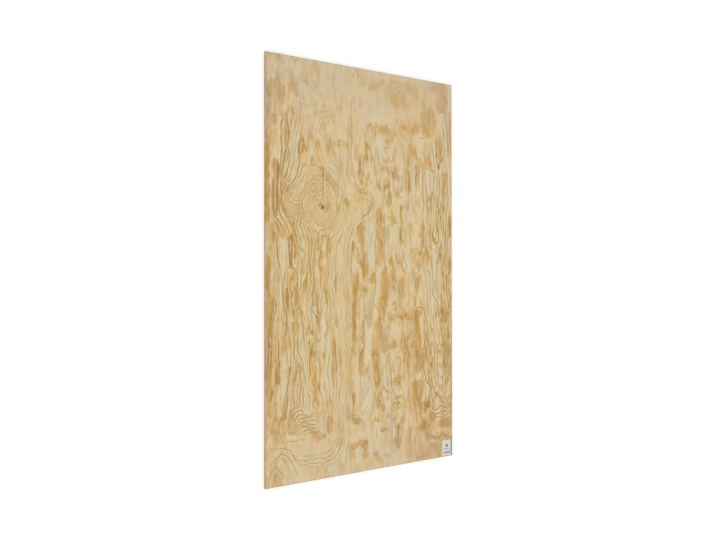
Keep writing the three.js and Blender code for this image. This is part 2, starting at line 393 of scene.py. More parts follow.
    (0.45, (1134, 892), (1150, 880), (1170, 884), (1190, 870)),
    (0.6, (1142, 845), (1145, 800), (1138, 765), (1142, 720)),
    (0.8, (1163, 842), (1164, 770), (1166, 700), (1164, 640), (1168, 590), (1172, 520), (1165, 460),
     (1158, 418)),
    (0.6, (1150, 800), (1152, 740), (1148, 690), (1152, 620), (1153, 540), (1149, 470), (1143, 436)),
    (0.5, (1062, 780), (1066, 700), (1062, 640)),
    (0.5, (1090, 790), (1092, 720), (1088, 650), (1094, 600)),
    (0.6, (1108, 700), (1110, 600), (1112, 520), (1119, 462), (1128, 432), (1136, 424), (1143, 436)),
    (0.8, (1000, 605), (1013, 572), (1019, 540), (1025, 508), (1044, 492), (1056, 470), (1064, 440),
     (1068, 400), (1078, 362), (1086, 342)),
    (0.6, (1038, 600), (1044, 560), (1046, 520)),
    (0.6, (1060, 600), (1064, 550), (1070, 500), (1074, 460)),
    (0.7, (1087, 442), (1094, 418), (1110, 396), (1130, 388), (1150, 398), (1166, 424)),
    (0.9, (1066, 340), (1078, 320), (1092, 310), (1106, 315), (1122, 326), (1137, 341), (1150, 334),
     (1164, 322), (1180, 334), (1190, 370), (1200, 405)),
    (0.8, (1060, 302), (1075, 291), (1092, 285), (1112, 287), (1136, 296), (1158, 298), (1180, 302),
     (1192, 320), (1204, 350)),
    (0.6, (1070, 278), (1100, 268), (1130, 262), (1155, 264), (1180, 282), (1200, 290)),
    (0.48, (1000, 172), (1014, 154), (1028, 138), (1046, 131), (1064, 148), (1078, 138), (1098, 130),
     (1120, 125), (1135, 141), (1148, 156), (1162, 150), (1176, 134), (1192, 124), (1208, 108)),
    (0.7, (1010, 250), (1020, 238), (1034, 242), (1044, 262), (1058, 280)),
    (0.8, (760, 602), (776, 575), (780, 520), (784, 478), (796, 452)),
    (0.7, (800, 560), (830, 562), (852, 552), (872, 536)),
    (0.7, (775, 382), (790, 366), (820, 356), (860, 352)),
    (0.6, (655, 440), (656, 380), (660, 330)),
    (0.6, (612, 286), (613, 262), (608, 240)),
    (0.5, (800, 1062), (822, 1045), (834, 1010), (833, 970), (828, 950)),
    (0.5, (750, 958), (768, 971), (798, 974), (822, 966)),
    (0.5, (735, 890), (738, 850), (752, 820), (772, 800), (784, 780)),
    (0.5, (745, 1505), (745, 1440), (745, 1372), (758, 1358), (800, 1352), (832, 1350)),
    (0.4, (757, 1500), (756, 1440), (757, 1390)),
    (0.45, (748, 1508), (775, 1506), (802, 1510)),
    (0.6, (690, 1472), (685, 1435), (690, 1404)),
    (0.6, (722, 1472), (727, 1435), (722, 1404)),
    (0.9, (370, 885), (374, 893), (382, 893), (386, 885), (382, 876), (374, 876), (370, 885)),
    (0.6, (575, 1118), (590, 1126), (605, 1110), (608, 1086)),
    (0.6, (905, 240), (915, 200), (912, 120), (905, 60)),
    (0.6, (830, 250), (824, 200), (830, 130), (826, 90)),
    (0.6, (898, 1900), (896, 1850), (905, 1800), (900, 1700)),
    (0.5, (512, 2250), (515, 2150), (520, 2050), (514, 1950), (518, 1850), (520, 1790)),
    (0.4, (408, 2436), (405, 2350), (408, 2250), (402, 2150)),
    (0.45, (132, 2400), (136, 2360), (134, 2310), (142, 2270), (150, 2235)),
    (0.45, (140, 2330), (150, 2350), (162, 2345), (172, 2318), (184, 2300), (192, 2318), (204, 2345)),
    (0.5, (186, 2296), (188, 2260), (182, 2225), (174, 2200)),
    (0.4, (214, 2330), (228, 2318), (236, 2290), (246, 2312), (262, 2345), (276, 2366)),
    (0.4, (300, 2350), (310, 2318), (318, 2290), (320, 2250), (324, 2210)),
    (0.4, (238, 2262), (250, 2292), (262, 2312), (273, 2322), (288, 2300), (298, 2280), (306, 2250),
     (312, 2222)),
    (0.4, (246, 2230), (256, 2262), (266, 2288), (277, 2262), (286, 2284), (295, 2255), (300, 2232)),
    (0.35, (252, 2200), (262, 2236), (272, 2254), (282, 2232), (290, 2246)),
    (0.6, (205, 2050), (200, 2100), (202, 2142), (212, 2165), (223, 2182), (222, 2232), (230, 2250)),
    (0.5, (232, 2150), (240, 2182), (252, 2176), (268, 2160), (280, 2186), (296, 2176), (304, 2204),
     (318, 2196)),
    (0.4, (196, 2160), (204, 2200), (214, 2240), (216, 2290)),
    (0.45, (228, 2072), (252, 2092), (272, 2116), (300, 2136), (340, 2146), (380, 2160), (416, 2172)),
    (0.4, (290, 2092), (330, 2104), (366, 2122), (402, 2136), (420, 2150)),
    (0.35, (330, 2074), (370, 2090), (416, 2104), (440, 2100)),
    (0.35, (300, 2160), (330, 2172), (352, 2190), (372, 2170), (392, 2160)),
    (0.4, (420, 2060), (440, 2096), (458, 2110), (470, 2080), (478, 2040)),
    (0.3, (600, 2180), (660, 2196), (720, 2190), (800, 2210), (880, 2200)),
    (0.35, (560, 2330), (640, 2322), (740, 2334), (800, 2350), (860, 2342), (920, 2366)),
    (0.3, (620, 2260), (690, 2252), (740, 2262)),
    (0.35, (1000, 2320), (1012, 2280), (1018, 2230), (1026, 2180), (1022, 2120)),
    (0.4, (1060, 2280), (1064, 2220), (1072, 2160), (1070, 2110)),
    (0.35, (930, 2150), (960, 2162), (1000, 2140), (1040, 2118)),
    (0.3, (880, 2086), (930, 2096), (962, 2090)),
    (0.6, (815, 1190), (824, 1130), (836, 1070), (841, 1010), (838, 965), (826, 945)),
    (0.45, (770, 1200), (770, 1120), (778, 1060), (788, 1026)),
    (0.6, (575, 1134), (592, 1112), (600, 1082), (590, 1050), (602, 1020), (600, 980)),
    (0.6, (668, 1176), (674, 1124), (670, 1076), (655, 1042), (664, 1002), (684, 976), (702, 958)),
    (0.6, (728, 1000), (734, 960), (728, 920), (734, 880), (742, 840), (750, 800)),
    (0.45, (868, 1566), (870, 1504), (877, 1452), (880, 1404), (872, 1364), (850, 1350)),
    (0.45, (760, 1500), (767, 1440), (760, 1400)),
    (0.45, (828, 1512), (838, 1462), (840, 1396)),
    (0.6, (524, 1420), (523, 1350), (514, 1290), (512, 1220), (515, 1160)),
    (0.45, (606, 1332), (617, 1290), (629, 1240), (630, 1190)),
    (0.6, (672, 1512), (677, 1440), (672, 1380), (673, 1310), (686, 1266)),
    (0.6, (728, 1600), (732, 1500), (737, 1420), (735, 1350), (731, 1280), (739, 1230), (742, 1180)),
    (0.45, (960, 1710), (958, 1640), (965, 1590)),
    (0.45, (985, 1710), (981, 1640), (990, 1590)),
    (0.45, (910, 1500), (906, 1440), (914, 1400), (908, 1350)),
    (0.45, (935, 1520), (932, 1460), (940, 1420)),
    (0.45, (850, 1180), (856, 1120), (848, 1060), (858, 1010)),
    (0.45, (905, 1180), (900, 1110), (910, 1050), (902, 990)),
    (0.6, (950, 1180), (944, 1120), (954, 1070), (948, 1010)),
    (0.45, (556, 1170), (560, 1100), (552, 1040), (560, 980), (556, 900)),
    (0.45, (700, 900), (712, 850), (706, 800), (712, 740), (704, 680), (712, 610), (706, 540)),
    (0.45, (655, 900), (654, 840), (648, 780), (652, 700), (660, 640), (664, 560)),
    (0.45, (603, 900), (598, 850), (604, 790), (596, 740)),
    (0.45, (770, 700), (764, 650), (776, 600), (768, 560)),
    (0.45, (905, 880), (912, 830), (904, 790)),
    (0.45, (865, 700), (862, 640), (868, 590)),
    (0.45, (908, 700), (912, 640), (906, 590)),
    (0.45, (740, 1700), (736, 1660), (742, 1620)),
    (0.45, (820, 1690), (812, 1650), (820, 1610)),
    (0.45, (700, 1900), (712, 1860), (706, 1810), (716, 1770)),
    (0.45, (860, 1890), (866, 1840), (858, 1790), (864, 1740)),
    (0.45, (930, 1880), (924, 1830), (930, 1790)),
    (0.45, (800, 1990), (806, 1950), (798, 1910)),
    (0.45, (870, 1990), (864, 1950), (872, 1900)),
    (0.5, (60, 345), (62, 300), (78, 258), (104, 238)),
    (0.55, (104, 452), (96, 400), (84, 350), (80, 300), (92, 264), (112, 250)),
    (0.5, (128, 452), (118, 400), (104, 345), (98, 300), (108, 276)),
    (0.5, (150, 452), (142, 400), (130, 350), (124, 310)),
    (0.3, (590, 290), (602, 262), (600, 232)),
    (0.34, (236, 2196), (250, 2216), (262, 2186), (275, 2222), (290, 2190), (306, 2230)),
    (0.34, (244, 2250), (256, 2268), (268, 2232), (282, 2268), (298, 2236), (316, 2274)),
    (0.34, (250, 2300), (264, 2318), (276, 2280), (290, 2318), (308, 2288), (322, 2320)),
    (0.34, (188, 2300), (204, 2336), (216, 2318), (222, 2250), (224, 2190)),
    (0.3, (252, 2326), (270, 2352), (284, 2366), (298, 2350)),
)
LINE_REACH = 14.0
LINE_END = 40

# Strips of wood: depth (pale below nought), lean (mustard above nought, pink below it), half width, and the
# points each runs through
STRIPS = (
    (0.42, 0.2, 9.0, (150, 2348), (152, 2300), (168, 2250), (178, 2212)),
    (0.3, 0.2, 8.0, (76, 2330), (78, 2290)),
    (0.26, -0.2, 8.0, (250, 2350), (236, 2322)),
    (0.62, 2.6, 8.5, (16, 1925), (15, 1700), (16, 1478)),
    (-0.42, -1.2, 9.0, (37, 1915), (37, 1700), (37, 1485)),
    (0.8, -1.0, 14.0, (66, 1832), (62, 1735), (60, 1640), (56, 1545)),
    (0.26, 0.3, 12.0, (352, 1802), (385, 1752), (412, 1706)),
    (0.24, 0.0, 8.0, (548, 1712), (574, 1694), (612, 1690), (640, 1680), (656, 1640), (650, 1600),
     (628, 1566), (590, 1536)),
    (0.5, -1.2, 8.0, (52, 1556), (54, 1538)),
    (0.5, -0.4, 10.0, (68, 1500), (90, 1450), (112, 1405)),
    (0.55, 0.2, 8.0, (52, 1440), (52, 1395)),
    (0.3, 0.7, 5.0, (90, 1600), (92, 1700), (98, 1760), (104, 1850)),
    (0.42, 0.5, 9.0, (118, 1905), (120, 1850)),
    (0.24, -0.3, 15.0, (112, 2068), (112, 2000), (108, 1945)),
    (0.45, 0.1, 5.0, (127, 2060), (129, 2000), (122, 1955)),
    (0.46, 0.0, 8.0, (106, 1940), (104, 1900)),
    (0.36, 0.1, 15.0, (210, 1936), (208, 1908)),
    (0.26, 0.8, 9.0, (274, 1860), (274, 1832)),
    (0.5, -0.2, 9.0, (330, 1818), (330, 1765)),
    (0.45, -0.2, 10.0, (350, 1795), (352, 1765)),
    (0.5, -0.2, 7.0, (330, 1702), (330, 1670)),
    (0.5, -0.2, 7.0, (327, 1612), (329, 1580)),
    (0.3, -0.1, 10.0, (360, 1608), (358, 1580)),
    (0.1, 0.4, 8.0, (432, 1598), (432, 1565)),
    (0.36, 0.0, 12.0, (488, 1632), (492, 1598)),
    (0.42, 0.1, 10.0, (163, 1478), (163, 1400)),
    (0.34, 0.2, 16.0, (166, 1380), (172, 1320)),
    (0.36, -0.1, 8.0, (142, 1388), (144, 1310)),
    (0.3, 0.8, 17.0, (378, 1418), (378, 1345)),
    (-0.25, 0.2, 16.0, (105, 1400), (106, 1320)),
    (0.56, 1.6, 9.0, (19, 1296), (19, 1112)),
    (-0.32, -1.0, 9.0, (38, 1296), (38, 1120)),
    (0.35, -0.7, 5.0, (22, 1105), (22, 1080)),
    (0.4, 0.1, 4.0, (66, 1400), (66, 1300)),
    (0.5, 0.1, 12.0, (54, 1040), (47, 990), (38, 950)),
    (0.5, -1.0, 8.0, (32, 925), (30, 860), (28, 790)),
    (0.45, 0.4, 3.5, (137, 1400), (140, 1300), (145, 1240)),
    (0.4, 0.2, 3.5, (149, 1400), (150, 1330)),
    (0.38, 0.0, 9.0, (121, 1112), (121, 1052)),
    (0.36, 0.8, 5.0, (128, 1030), (130, 950), (128, 870)),
    (-0.15, -1.4, 7.0, (152, 1115), (152, 1028)),
    (0.45, 1.0, 8.5, (175, 1115), (175, 1028)),
    (-0.15, -1.2, 7.0, (197, 1115), (197, 1028)),
    (0.4, -0.1, 16.0, (172, 1012), (172, 945)),
    (0.3, 0.6, 14.0, (174, 915), (176, 870)),
    (0.4, 0.9, 8.5, (232, 1165), (232, 1105)),
    (0.45, 0.0, 9.0, (328, 1248), (328, 1212)),
    (0.4, 0.1, 9.0, (337, 1328), (337, 1302)),
    (0.42, 0.0, 9.0, (306, 1398), (306, 1332)),
    (0.42, 0.5, 9.0, (309, 945), (309, 885)),
    (0.4, 0.2, 14.0, (268, 880), (268, 850)),
    (1.0, -1.0, 15.0, (24, 755), (24, 640)),
    (0.7, -0.2, 14.0, (24, 640), (26, 510)),
    (0.48, -0.2, 8.0, (67, 758), (67, 690), (68, 640), (73, 585)),
    (-0.2, 1.2, 10.0, (106, 735), (106, 650)),
    (-0.2, 0.6, 12.0, (205, 840), (202, 750)),
    (0.3, -0.1, 10.0, (109, 848), (110, 764)),
    (0.35, 0.7, 6.0, (138, 655), (134, 600), (128, 555), (128, 500)),
    (0.4, 0.1, 7.0, (122, 470), (118, 425), (110, 395)),
    (0.4, 0.1, 16.0, (266, 785), (266, 720)),
    (0.38, 0.4, 15.0, (266, 720), (268, 650), (276, 610)),
    (0.36, 1.0, 9.0, (285, 1088), (285, 1025)),
    (0.36, 0.9, 9.0, (354, 1105), (354, 1025)),
    (0.34, 0.0, 8.0, (312, 950), (310, 890), (316, 850)),
    (0.36, 0.7, 14.0, (286, 590), (292, 565)),
    (0.42, 0.0, 12.0, (298, 550), (300, 530)),
    (0.36, 0.1, 12.0, (190, 655), (192, 622)),
    (0.45, 1.0, 8.5, (20, 495), (20, 408)),
    (-0.2, -0.8, 12.0, (44, 490), (44, 410)),
    (0.45, 0.2, 10.0, (60, 372), (48, 340), (40, 318)),
    (0.4, -0.1, 14.0, (86, 352), (112, 385)),
    (0.3, 0.5, 7.0, (140, 292), (178, 292)),
    (-0.25, 0.6, 12.0, (140, 266), (176, 266)),
    (0.4, 0.2, 16.0, (298, 258), (312, 240), (336, 250)),
    (0.4, -0.2, 12.0, (380, 355), (380, 280)),
    (0.4, -0.2, 10.0, (530, 385), (530, 350)),
    (0.4, 0.0, 5.0, (526, 488), (527, 410)),
    (0.34, -0.3, 4.0, (506, 334), (540, 324), (575, 304)),
    (0.3, -0.3, 4.0, (500, 318), (532, 306), (564, 292)),
    (0.42, -0.8, 5.0, (631, 1592), (631, 1508)),
    (0.42, 0.0, 19.0, (580, 1885), (578, 1800)),
    # the upper left corner and the top
    (0.24, -1.2, 22.0, (296, 2412), (300, 2385)),
    (0.3, 0.6, 14.0, (150, 2428), (180, 2428)),
    (0.34, 0.0, 9.0, (81, 2436), (81, 2410)),
    (-0.14, 0.2, 30.0, (70, 2366), (100, 2366)),
    (0.26, 0.5, 12.0, (151, 2340), (151, 2318)),
    (0.28, 0.5, 10.0, (74, 2320), (74, 2300)),
    (0.36, 0.0, 20.0, (156, 2286), (164, 2272)),
    (0.34, 0.1, 9.0, (172, 2262), (175, 2222)),
    (-0.2, 0.4, 9.0, (214, 2310), (214, 2250)),
    (0.4, 0.8, 13.0, (28, 2250), (28, 2195)),
    (0.34, -0.5, 14.0, (76, 2282), (74, 2215)),
    (0.3, -0.7, 10.0, (48, 2272), (50, 2252)),
    (0.3, 0.4, 4.0, (98, 2250), (98, 2205)),
    (0.3, 0.6, 4.0, (108, 2250), (110, 2210)),
    (-0.16, 0.3, 20.0, (108, 2145), (108, 2125)),
    (0.32, -0.2, 14.0, (151, 2146), (152, 2130)),
    (0.3, 0.2, 8.0, (96, 2096), (122, 2096)),
    (0.36, -0.1, 9.0, (50, 2090), (50, 2050)),
    (0.3, -0.6, 4.0, (13, 2150), (13, 1950)),
    (0.16, 1.2, 13.0, (454, 2246), (454, 2175)),
    (-0.2, -0.2, 10.0, (532, 2390), (532, 2275)),
    (0.34, -0.1, 14.0, (570, 2350), (640, 2348), (710, 2352)),
    (0.3, -0.2, 14.0, (518, 2408), (550, 2404)),
    (0.2, 0.5, 40.0, (770, 2296), (850, 2290)),
    (0.16, 0.2, 22.0, (600, 2378), (700, 2366), (800, 2372), (900, 2376)),
    (0.3, 0.4, 12.0, (572, 2226), (576, 2208)),
    (-0.28, 0.8, 22.0, (668, 2148), (676, 2132)),
    (0.36, 0.2, 9.0, (638, 2106), (638, 2098)),
    (0.3, 0.3, 15.0, (632, 2092), (690, 2098), (748, 2086), (800, 2080)),
    (0.2, 0.2, 14.0, (850, 2112), (920, 2100), (960, 2116)),
    (0.36, 0.2, 24.0, (766, 2070), (764, 2020)),
    (-0.22, 0.3, 24.0, (706, 2030), (706, 1960)),
    (0.4, 1.2, 10.0, (664, 2082), (664, 2030), (660, 2000)),
    (-0.18, -1.6, 11.0, (632, 2078), (632, 1995)),
    (0.36, 1.0, 9.0, (614, 1990), (614, 1905)),
    (0.34, 1.2, 10.0, (552, 1975), (552, 1900)),
    (0.42, 0.2, 18.0, (742, 1900), (790, 1905)),
    (0.36, 0.9, 12.0, (745, 1962), (750, 1950)),
    (0.3, 1.0, 16.0, (415, 1958), (480, 1956)),
    # the middle
    (0.36, 0.1, 16.0, (586, 1742), (612, 1744)),
    (0.36, 0.1, 14.0, (634, 1790), (638, 1756)),
    (0.36, -0.6, 10.0, (532, 1812), (532, 1768)),
    (0.34, 1.2, 9.0, (671, 1862), (671, 1805)),
    (0.34, 0.0, 18.0, (736, 1845), (786, 1840)),
    (0.38, -1.2, 12.0, (796, 1802), (838, 1802)),
    (0.42, 0.0, 18.0, (748, 1772), (752, 1752)),
    (0.4, 0.9, 10.0, (744, 1735), (762, 1700), (774, 1660), (774, 1620)),
    (0.36, -0.3, 18.0, (682, 1722), (712, 1722)),
    (0.26, 0.8, 8.0, (716, 1700), (716, 1620)),
    (0.26, 1.0, 12.0, (826, 1682), (842, 1676)),
    (-0.1, 1.8, 14.0, (830, 1646), (830, 1625)),
    (0.42, 0.3, 17.0, (697, 1600), (698, 1530), (704, 1450)),
    (0.46, 0.4, 23.0, (706, 1460), (704, 1370), (702, 1275)),
    (0.42, -0.2, 20.0, (775, 1546), (788, 1528)),
    (-0.16, 0.2, 30.0, (800, 1475), (800, 1430)),
    (0.32, 1.2, 5.0, (847, 1595), (848, 1500), (847, 1415)),
    (-0.16, -1.0, 22.0, (780, 1392), (786, 1380)),
    (0.34, -0.3, 8.0, (855, 1394), (855, 1382)),
    (0.62, -0.1, 20.0, (574, 1476), (575, 1410), (582, 1330), (594, 1270), (606, 1205)),
    (-0.5, -0.2, 17.0, (627, 1490), (626, 1250)),
    (-0.4, 0.2, 12.0, (653, 1490), (653, 1260)),
    (0.34, -0.3, 6.0, (528, 1400), (530, 1300)),
    (0.42, 1.2, 14.0, (774, 1306), (786, 1250), (800, 1160)),
    (-0.1, -1.6, 6.0, (800, 1302), (828, 1276)),
    (0.34, 1.0, 12.0, (842, 1262), (846, 1248)),
    (-0.2, -1.0, 6.0, (740, 1300), (740, 1262)),
    (0.38, -0.7, 14.0, (634, 1172), (636, 1152)),
    (0.34, 1.2, 6.0, (662, 1190), (662, 1135)),
    (-0.2, -1.2, 11.0, (692, 1220), (692, 1120)),
    (-0.15, -1.4, 9.0, (765, 1250), (765, 1205)),
    (-0.15, -1.4, 7.0, (832, 1240), (832, 1140)),
    (0.28, 0.2, 20.0, (862, 1190), (862, 1130)),
    (0.3, 1.0, 10.0, (852, 1110), (852, 1090)),
    (0.3, -0.5, 12.0, (862, 1085), (862, 1055)),
    (0.52, 0.5, 16.0, (543, 1182), (540, 1090), (534, 1000)),
    (0.46, 0.2, 10.0, (534, 1000), (530, 900), (528, 720)),
    (0.3, 0.3, 9.0, (532, 815), (532, 720)),
    (0.36, 0.3, 6.0, (590, 1115), (606, 1112), (614, 1094)),
    (0.46, 0.9, 19.0, (728, 1215), (738, 1130), (736, 1050), (722, 985)),
    (-0.1, 1.4, 12.0, (582, 1000), (582, 930)),
    (0.36, 0.2, 5.0, (600, 990), (602, 920)),
    (0.36, -0.2, 4.0, (592, 905), (586, 850), (590, 780)),
    (0.46, 0.7, 19.0, (692, 915), (682, 830), (674, 740), (676, 660), (684, 590), (690, 510)),
    (0.5, 0.3, 7.0, (763, 958), (772, 930), (790, 914), (812, 914), (828, 932), (830, 956)),
    (-0.2, 0.4, 8.0, (744, 962), (756, 990), (784, 1008), (812, 1002), (828, 980)),
    (0.36, -0.1, 10.0, (788, 944), (798, 940)),
    (-0.24, -0.4, 18.0, (622, 900), (622, 780), (620, 660)),
    (0.3, 0.1, 14.0, (745, 755), (745, 720)),
    (0.46, 0.3, 15.0, (880, 775), (884, 700), (888, 620)),
    (0.36, 0.1, 9.0, (930, 800), (934, 730)),
    (0.3, -0.4, 17.0, (862, 930), (936, 926)),
    (0.22, 0.4, 13.0, (742, 752), (800, 742), (850, 760)),
    (-0.16, -0.2, 30.0, (800, 870), (820, 840)),
    (0.3, 0.4, 24.0, (690, 500), (694, 440)),
    (0.42, -0.3, 20.0, (700, 378), (712, 372)),
    (0.3, 0.9, 10.0, (664, 316), (692, 282)),
    (0.58, -0.1, 14.0, (582, 735), (576, 660), (572, 605)),
    (-0.2, 0.1, 34.0, (600, 470), (600, 390)),
    (0.42, -0.2, 20.0, (812, 526), (826, 524)),
    (0.36, 0.1, 5.0, (732, 486), (772, 462)),
    (0.42, -0.2, 14.0, (812, 424), (834, 418)),
    (0.34, 0.1, 8.0, (796, 388), (822, 374), (850, 366)),
    (-0.2, -0.2, 18.0, (752, 432), (752, 426)),
    (0.34, -0.7, 7.0, (760, 304), (800, 290)),
    (0.4, 0.8, 13.0, (732, 232), (746, 228)),
    (0.3, -0.7, 11.0, (828, 240), (826, 120)),
    (0.3, 0.6, 18.0, (540, 165), (606, 165)),
    (0.28, 0.4, 9.0, (530, 140), (528, 95)),
    (0.28, 0.4, 9.0, (602, 140), (604, 90)),
    (-0.2, 0.4, 16.0, (566, 125), (566, 70)),
    (0.32, 0.9, 10.0, (666, 94), (700, 64), (716, 34)),
    (0.3, 0.9, 8.0, (742, 84), (756, 76)),
    # the right side, from the top down
    (0.36, 0.0, 36.0, (1098, 2404), (1156, 2404)),
    (0.5, -0.2, 10.0, (1102, 2368), (1182, 2362)),
    (0.34, -0.2, 34.0, (1146, 2330), (1146, 2290)),
    (-0.2, 0.4, 9.0, (1204, 2440), (1204, 2270)),
    (0.26, 0.7, 13.0, (1010, 2280), (1004, 2200), (1014, 2105)),
    (0.3, 0.3, 10.0, (1046, 2270), (1042, 2190), (1050, 2090)),
    (0.34, -0.2, 9.0, (1084, 2240), (1084, 2105)),
    (-0.3, 0.4, 20.0, (1126, 2225), (1124, 2165)),
    (-0.12, 0.5, 5.0, (1154, 2248), (1164, 2190), (1171, 2130), (1180, 2050), (1186, 1960)),
    (0.28, 0.0, 9.0, (1194, 2235), (1200, 2100), (1203, 1960)),
    (0.58, -0.1, 24.0, (1128, 2070), (1128, 1970)),
    (-0.22, -0.6, 18.0, (950, 2050), (1050, 2056)),
    (0.5, 0.0, 12.0, (968, 1890), (966, 1845)),
    (0.36, 0.9, 14.0, (978, 1935), (980, 1905)),
    (0.34, 0.1, 22.0, (1030, 1930), (1036, 1895)),
    (0.36, 0.3, 6.0, (1120, 1930), (1121, 1895)),
    (-0.22, 0.4, 16.0, (1030, 1836), (1074, 1836)),
    (0.34, 0.4, 14.0, (896, 1830), (896, 1730)),
    (0.26, -0.2, 8.0, (899, 1720), (899, 1625)),
    (-0.18, -0.6, 16.0, (930, 1725), (930, 1630)),
    (0.44, 0.0, 12.0, (970, 1820), (968, 1750)),
    (-0.2, -0.5, 22.0, (1042, 1808), (1042, 1722)),
    (0.34, 0.2, 9.0, (1045, 1690), (1044, 1575)),
    (0.5, 0.0, 10.0, (1081, 1715), (1081, 1625)),
    (0.48, 0.0, 14.0, (1156, 1735), (1157, 1610)),
    (0.34, 0.2, 14.0, (1158, 1830), (1158, 1745)),
    (-0.2, -0.3, 8.0, (1204, 1840), (1204, 1610)),
    (-0.2, 0.6, 12.0, (1054, 1565), (1054, 1510)),
    (0.48, 0.5, 13.0, (1000, 1505), (1000, 1470)),
    (0.46, -0.6, 12.0, (998, 1458), (998, 1420)),
    (0.44, 1.3, 12.0, (1000, 1408), (1000, 1366)),
    (0.5, -0.1, 9.0, (1060, 1496), (1062, 1462)),
    (0.46, 0.7, 9.0, (1058, 1442), (1076, 1420), (1098, 1415)),
    (-0.32, -1.5, 12.0, (1042, 1432), (1042, 1378)),
    (0.3, 0.9, 7.0, (1030, 1350), (1038, 1312)),
    (0.34, 1.0, 8.0, (917, 1508), (917, 1424)),
    (-0.24, 0.1, 12.0, (955, 1505), (955, 1446)),
    (0.6, -0.4, 10.0, (1205, 1548), (1205, 1432)),
    (0.36, 0.2, 18.0, (1128, 1306), (1128, 1266)),
    (0.44, -0.2, 11.0, (1203, 1305), (1203, 1205)),
    (-0.26, -0.7, 22.0, (1106, 1250), (1106, 1140)),
    (-0.22, 0.6, 26.0, (1042, 1190), (1042, 1090)),
    (0.4, 0.6, 7.0, (967, 1165), (967, 1112)),
    (0.3, 0.9, 4.0, (1151, 1200), (1151, 1105)),
    (0.5, -0.9, 5.0, (1183, 1200), (1183, 1112)),
    (0.52, -0.2, 10.0, (1204, 1098), (1204, 985)),
    (0.5, 0.9, 18.0, (978, 962), (980, 930)),
    (0.62, 0.9, 13.0, (966, 950), (966, 860), (964, 800)),
    (0.66, 0.2, 13.0, (964, 800), (968, 700), (974, 610)),
    (-0.1, -0.9, 16.0, (994, 895), (994, 822)),
    (-0.2, 0.6, 12.0, (997, 800), (999, 735)),
    (0.48, 0.1, 9.0, (1030, 798), (1031, 705)),
    (0.34, 0.3, 28.0, (1160, 935), (1160, 905)),
    (0.5, 0.0, 8.0, (1142, 892), (1178, 892)),
    (-0.18, 0.5, 26.0, (1076, 880), (1094, 830)),
    (0.38, -0.1, 14.0, (1184, 835), (1184, 640)),
    (0.4, 0.0, 12.0, (1184, 600), (1184, 490)),
    (-0.24, 0.7, 12.0, (1130, 600), (1131, 470)),
    (0.34, 0.0, 16.0, (1104, 402), (1140, 392)),
    (-0.24, -0.8, 13.0, (1100, 352), (1150, 358)),
    (-0.5, 0.8, 18.0, (1030, 476), (1030, 400)),
    (0.5, 1.1, 5.0, (1056, 482), (1058, 455)),
    (0.5, -0.1, 9.0, (1036, 506), (1036, 500)),
    (0.5, 0.0, 34.0, (990, 345), (1026, 330)),
    (0.46, 0.0, 20.0, (978, 505), (978, 410)),
    (0.36, 0.7, 14.0, (934, 495), (936, 365)),
    (0.66, -0.1, 30.0, (1014, 210), (1034, 190)),
    (0.6, -0.1, 13.0, (1044, 178), (1050, 152)),
    (0.74, 0.1, 26.0, (1144, 222), (1184, 226)),
    (0.26, 0.8, 7.0, (1082, 272), (1080, 176)),
    (-0.34, -0.9, 15.0, (1084, 176), (1130, 178), (1190, 168)),
    (0.62, 0.6, 9.0, (1062, 146), (1085, 134), (1118, 128), (1136, 143), (1152, 150), (1170, 136),
     (1192, 116)),
    (-0.3, -0.5, 10.0, (1060, 122), (1085, 110), (1120, 104), (1142, 124), (1156, 128)),
    (0.34, -0.4, 13.0, (1066, 92), (1096, 78), (1116, 48), (1122, 14)),
    (0.3, 0.2, 6.0, (956, 27), (1040, 27)),
)

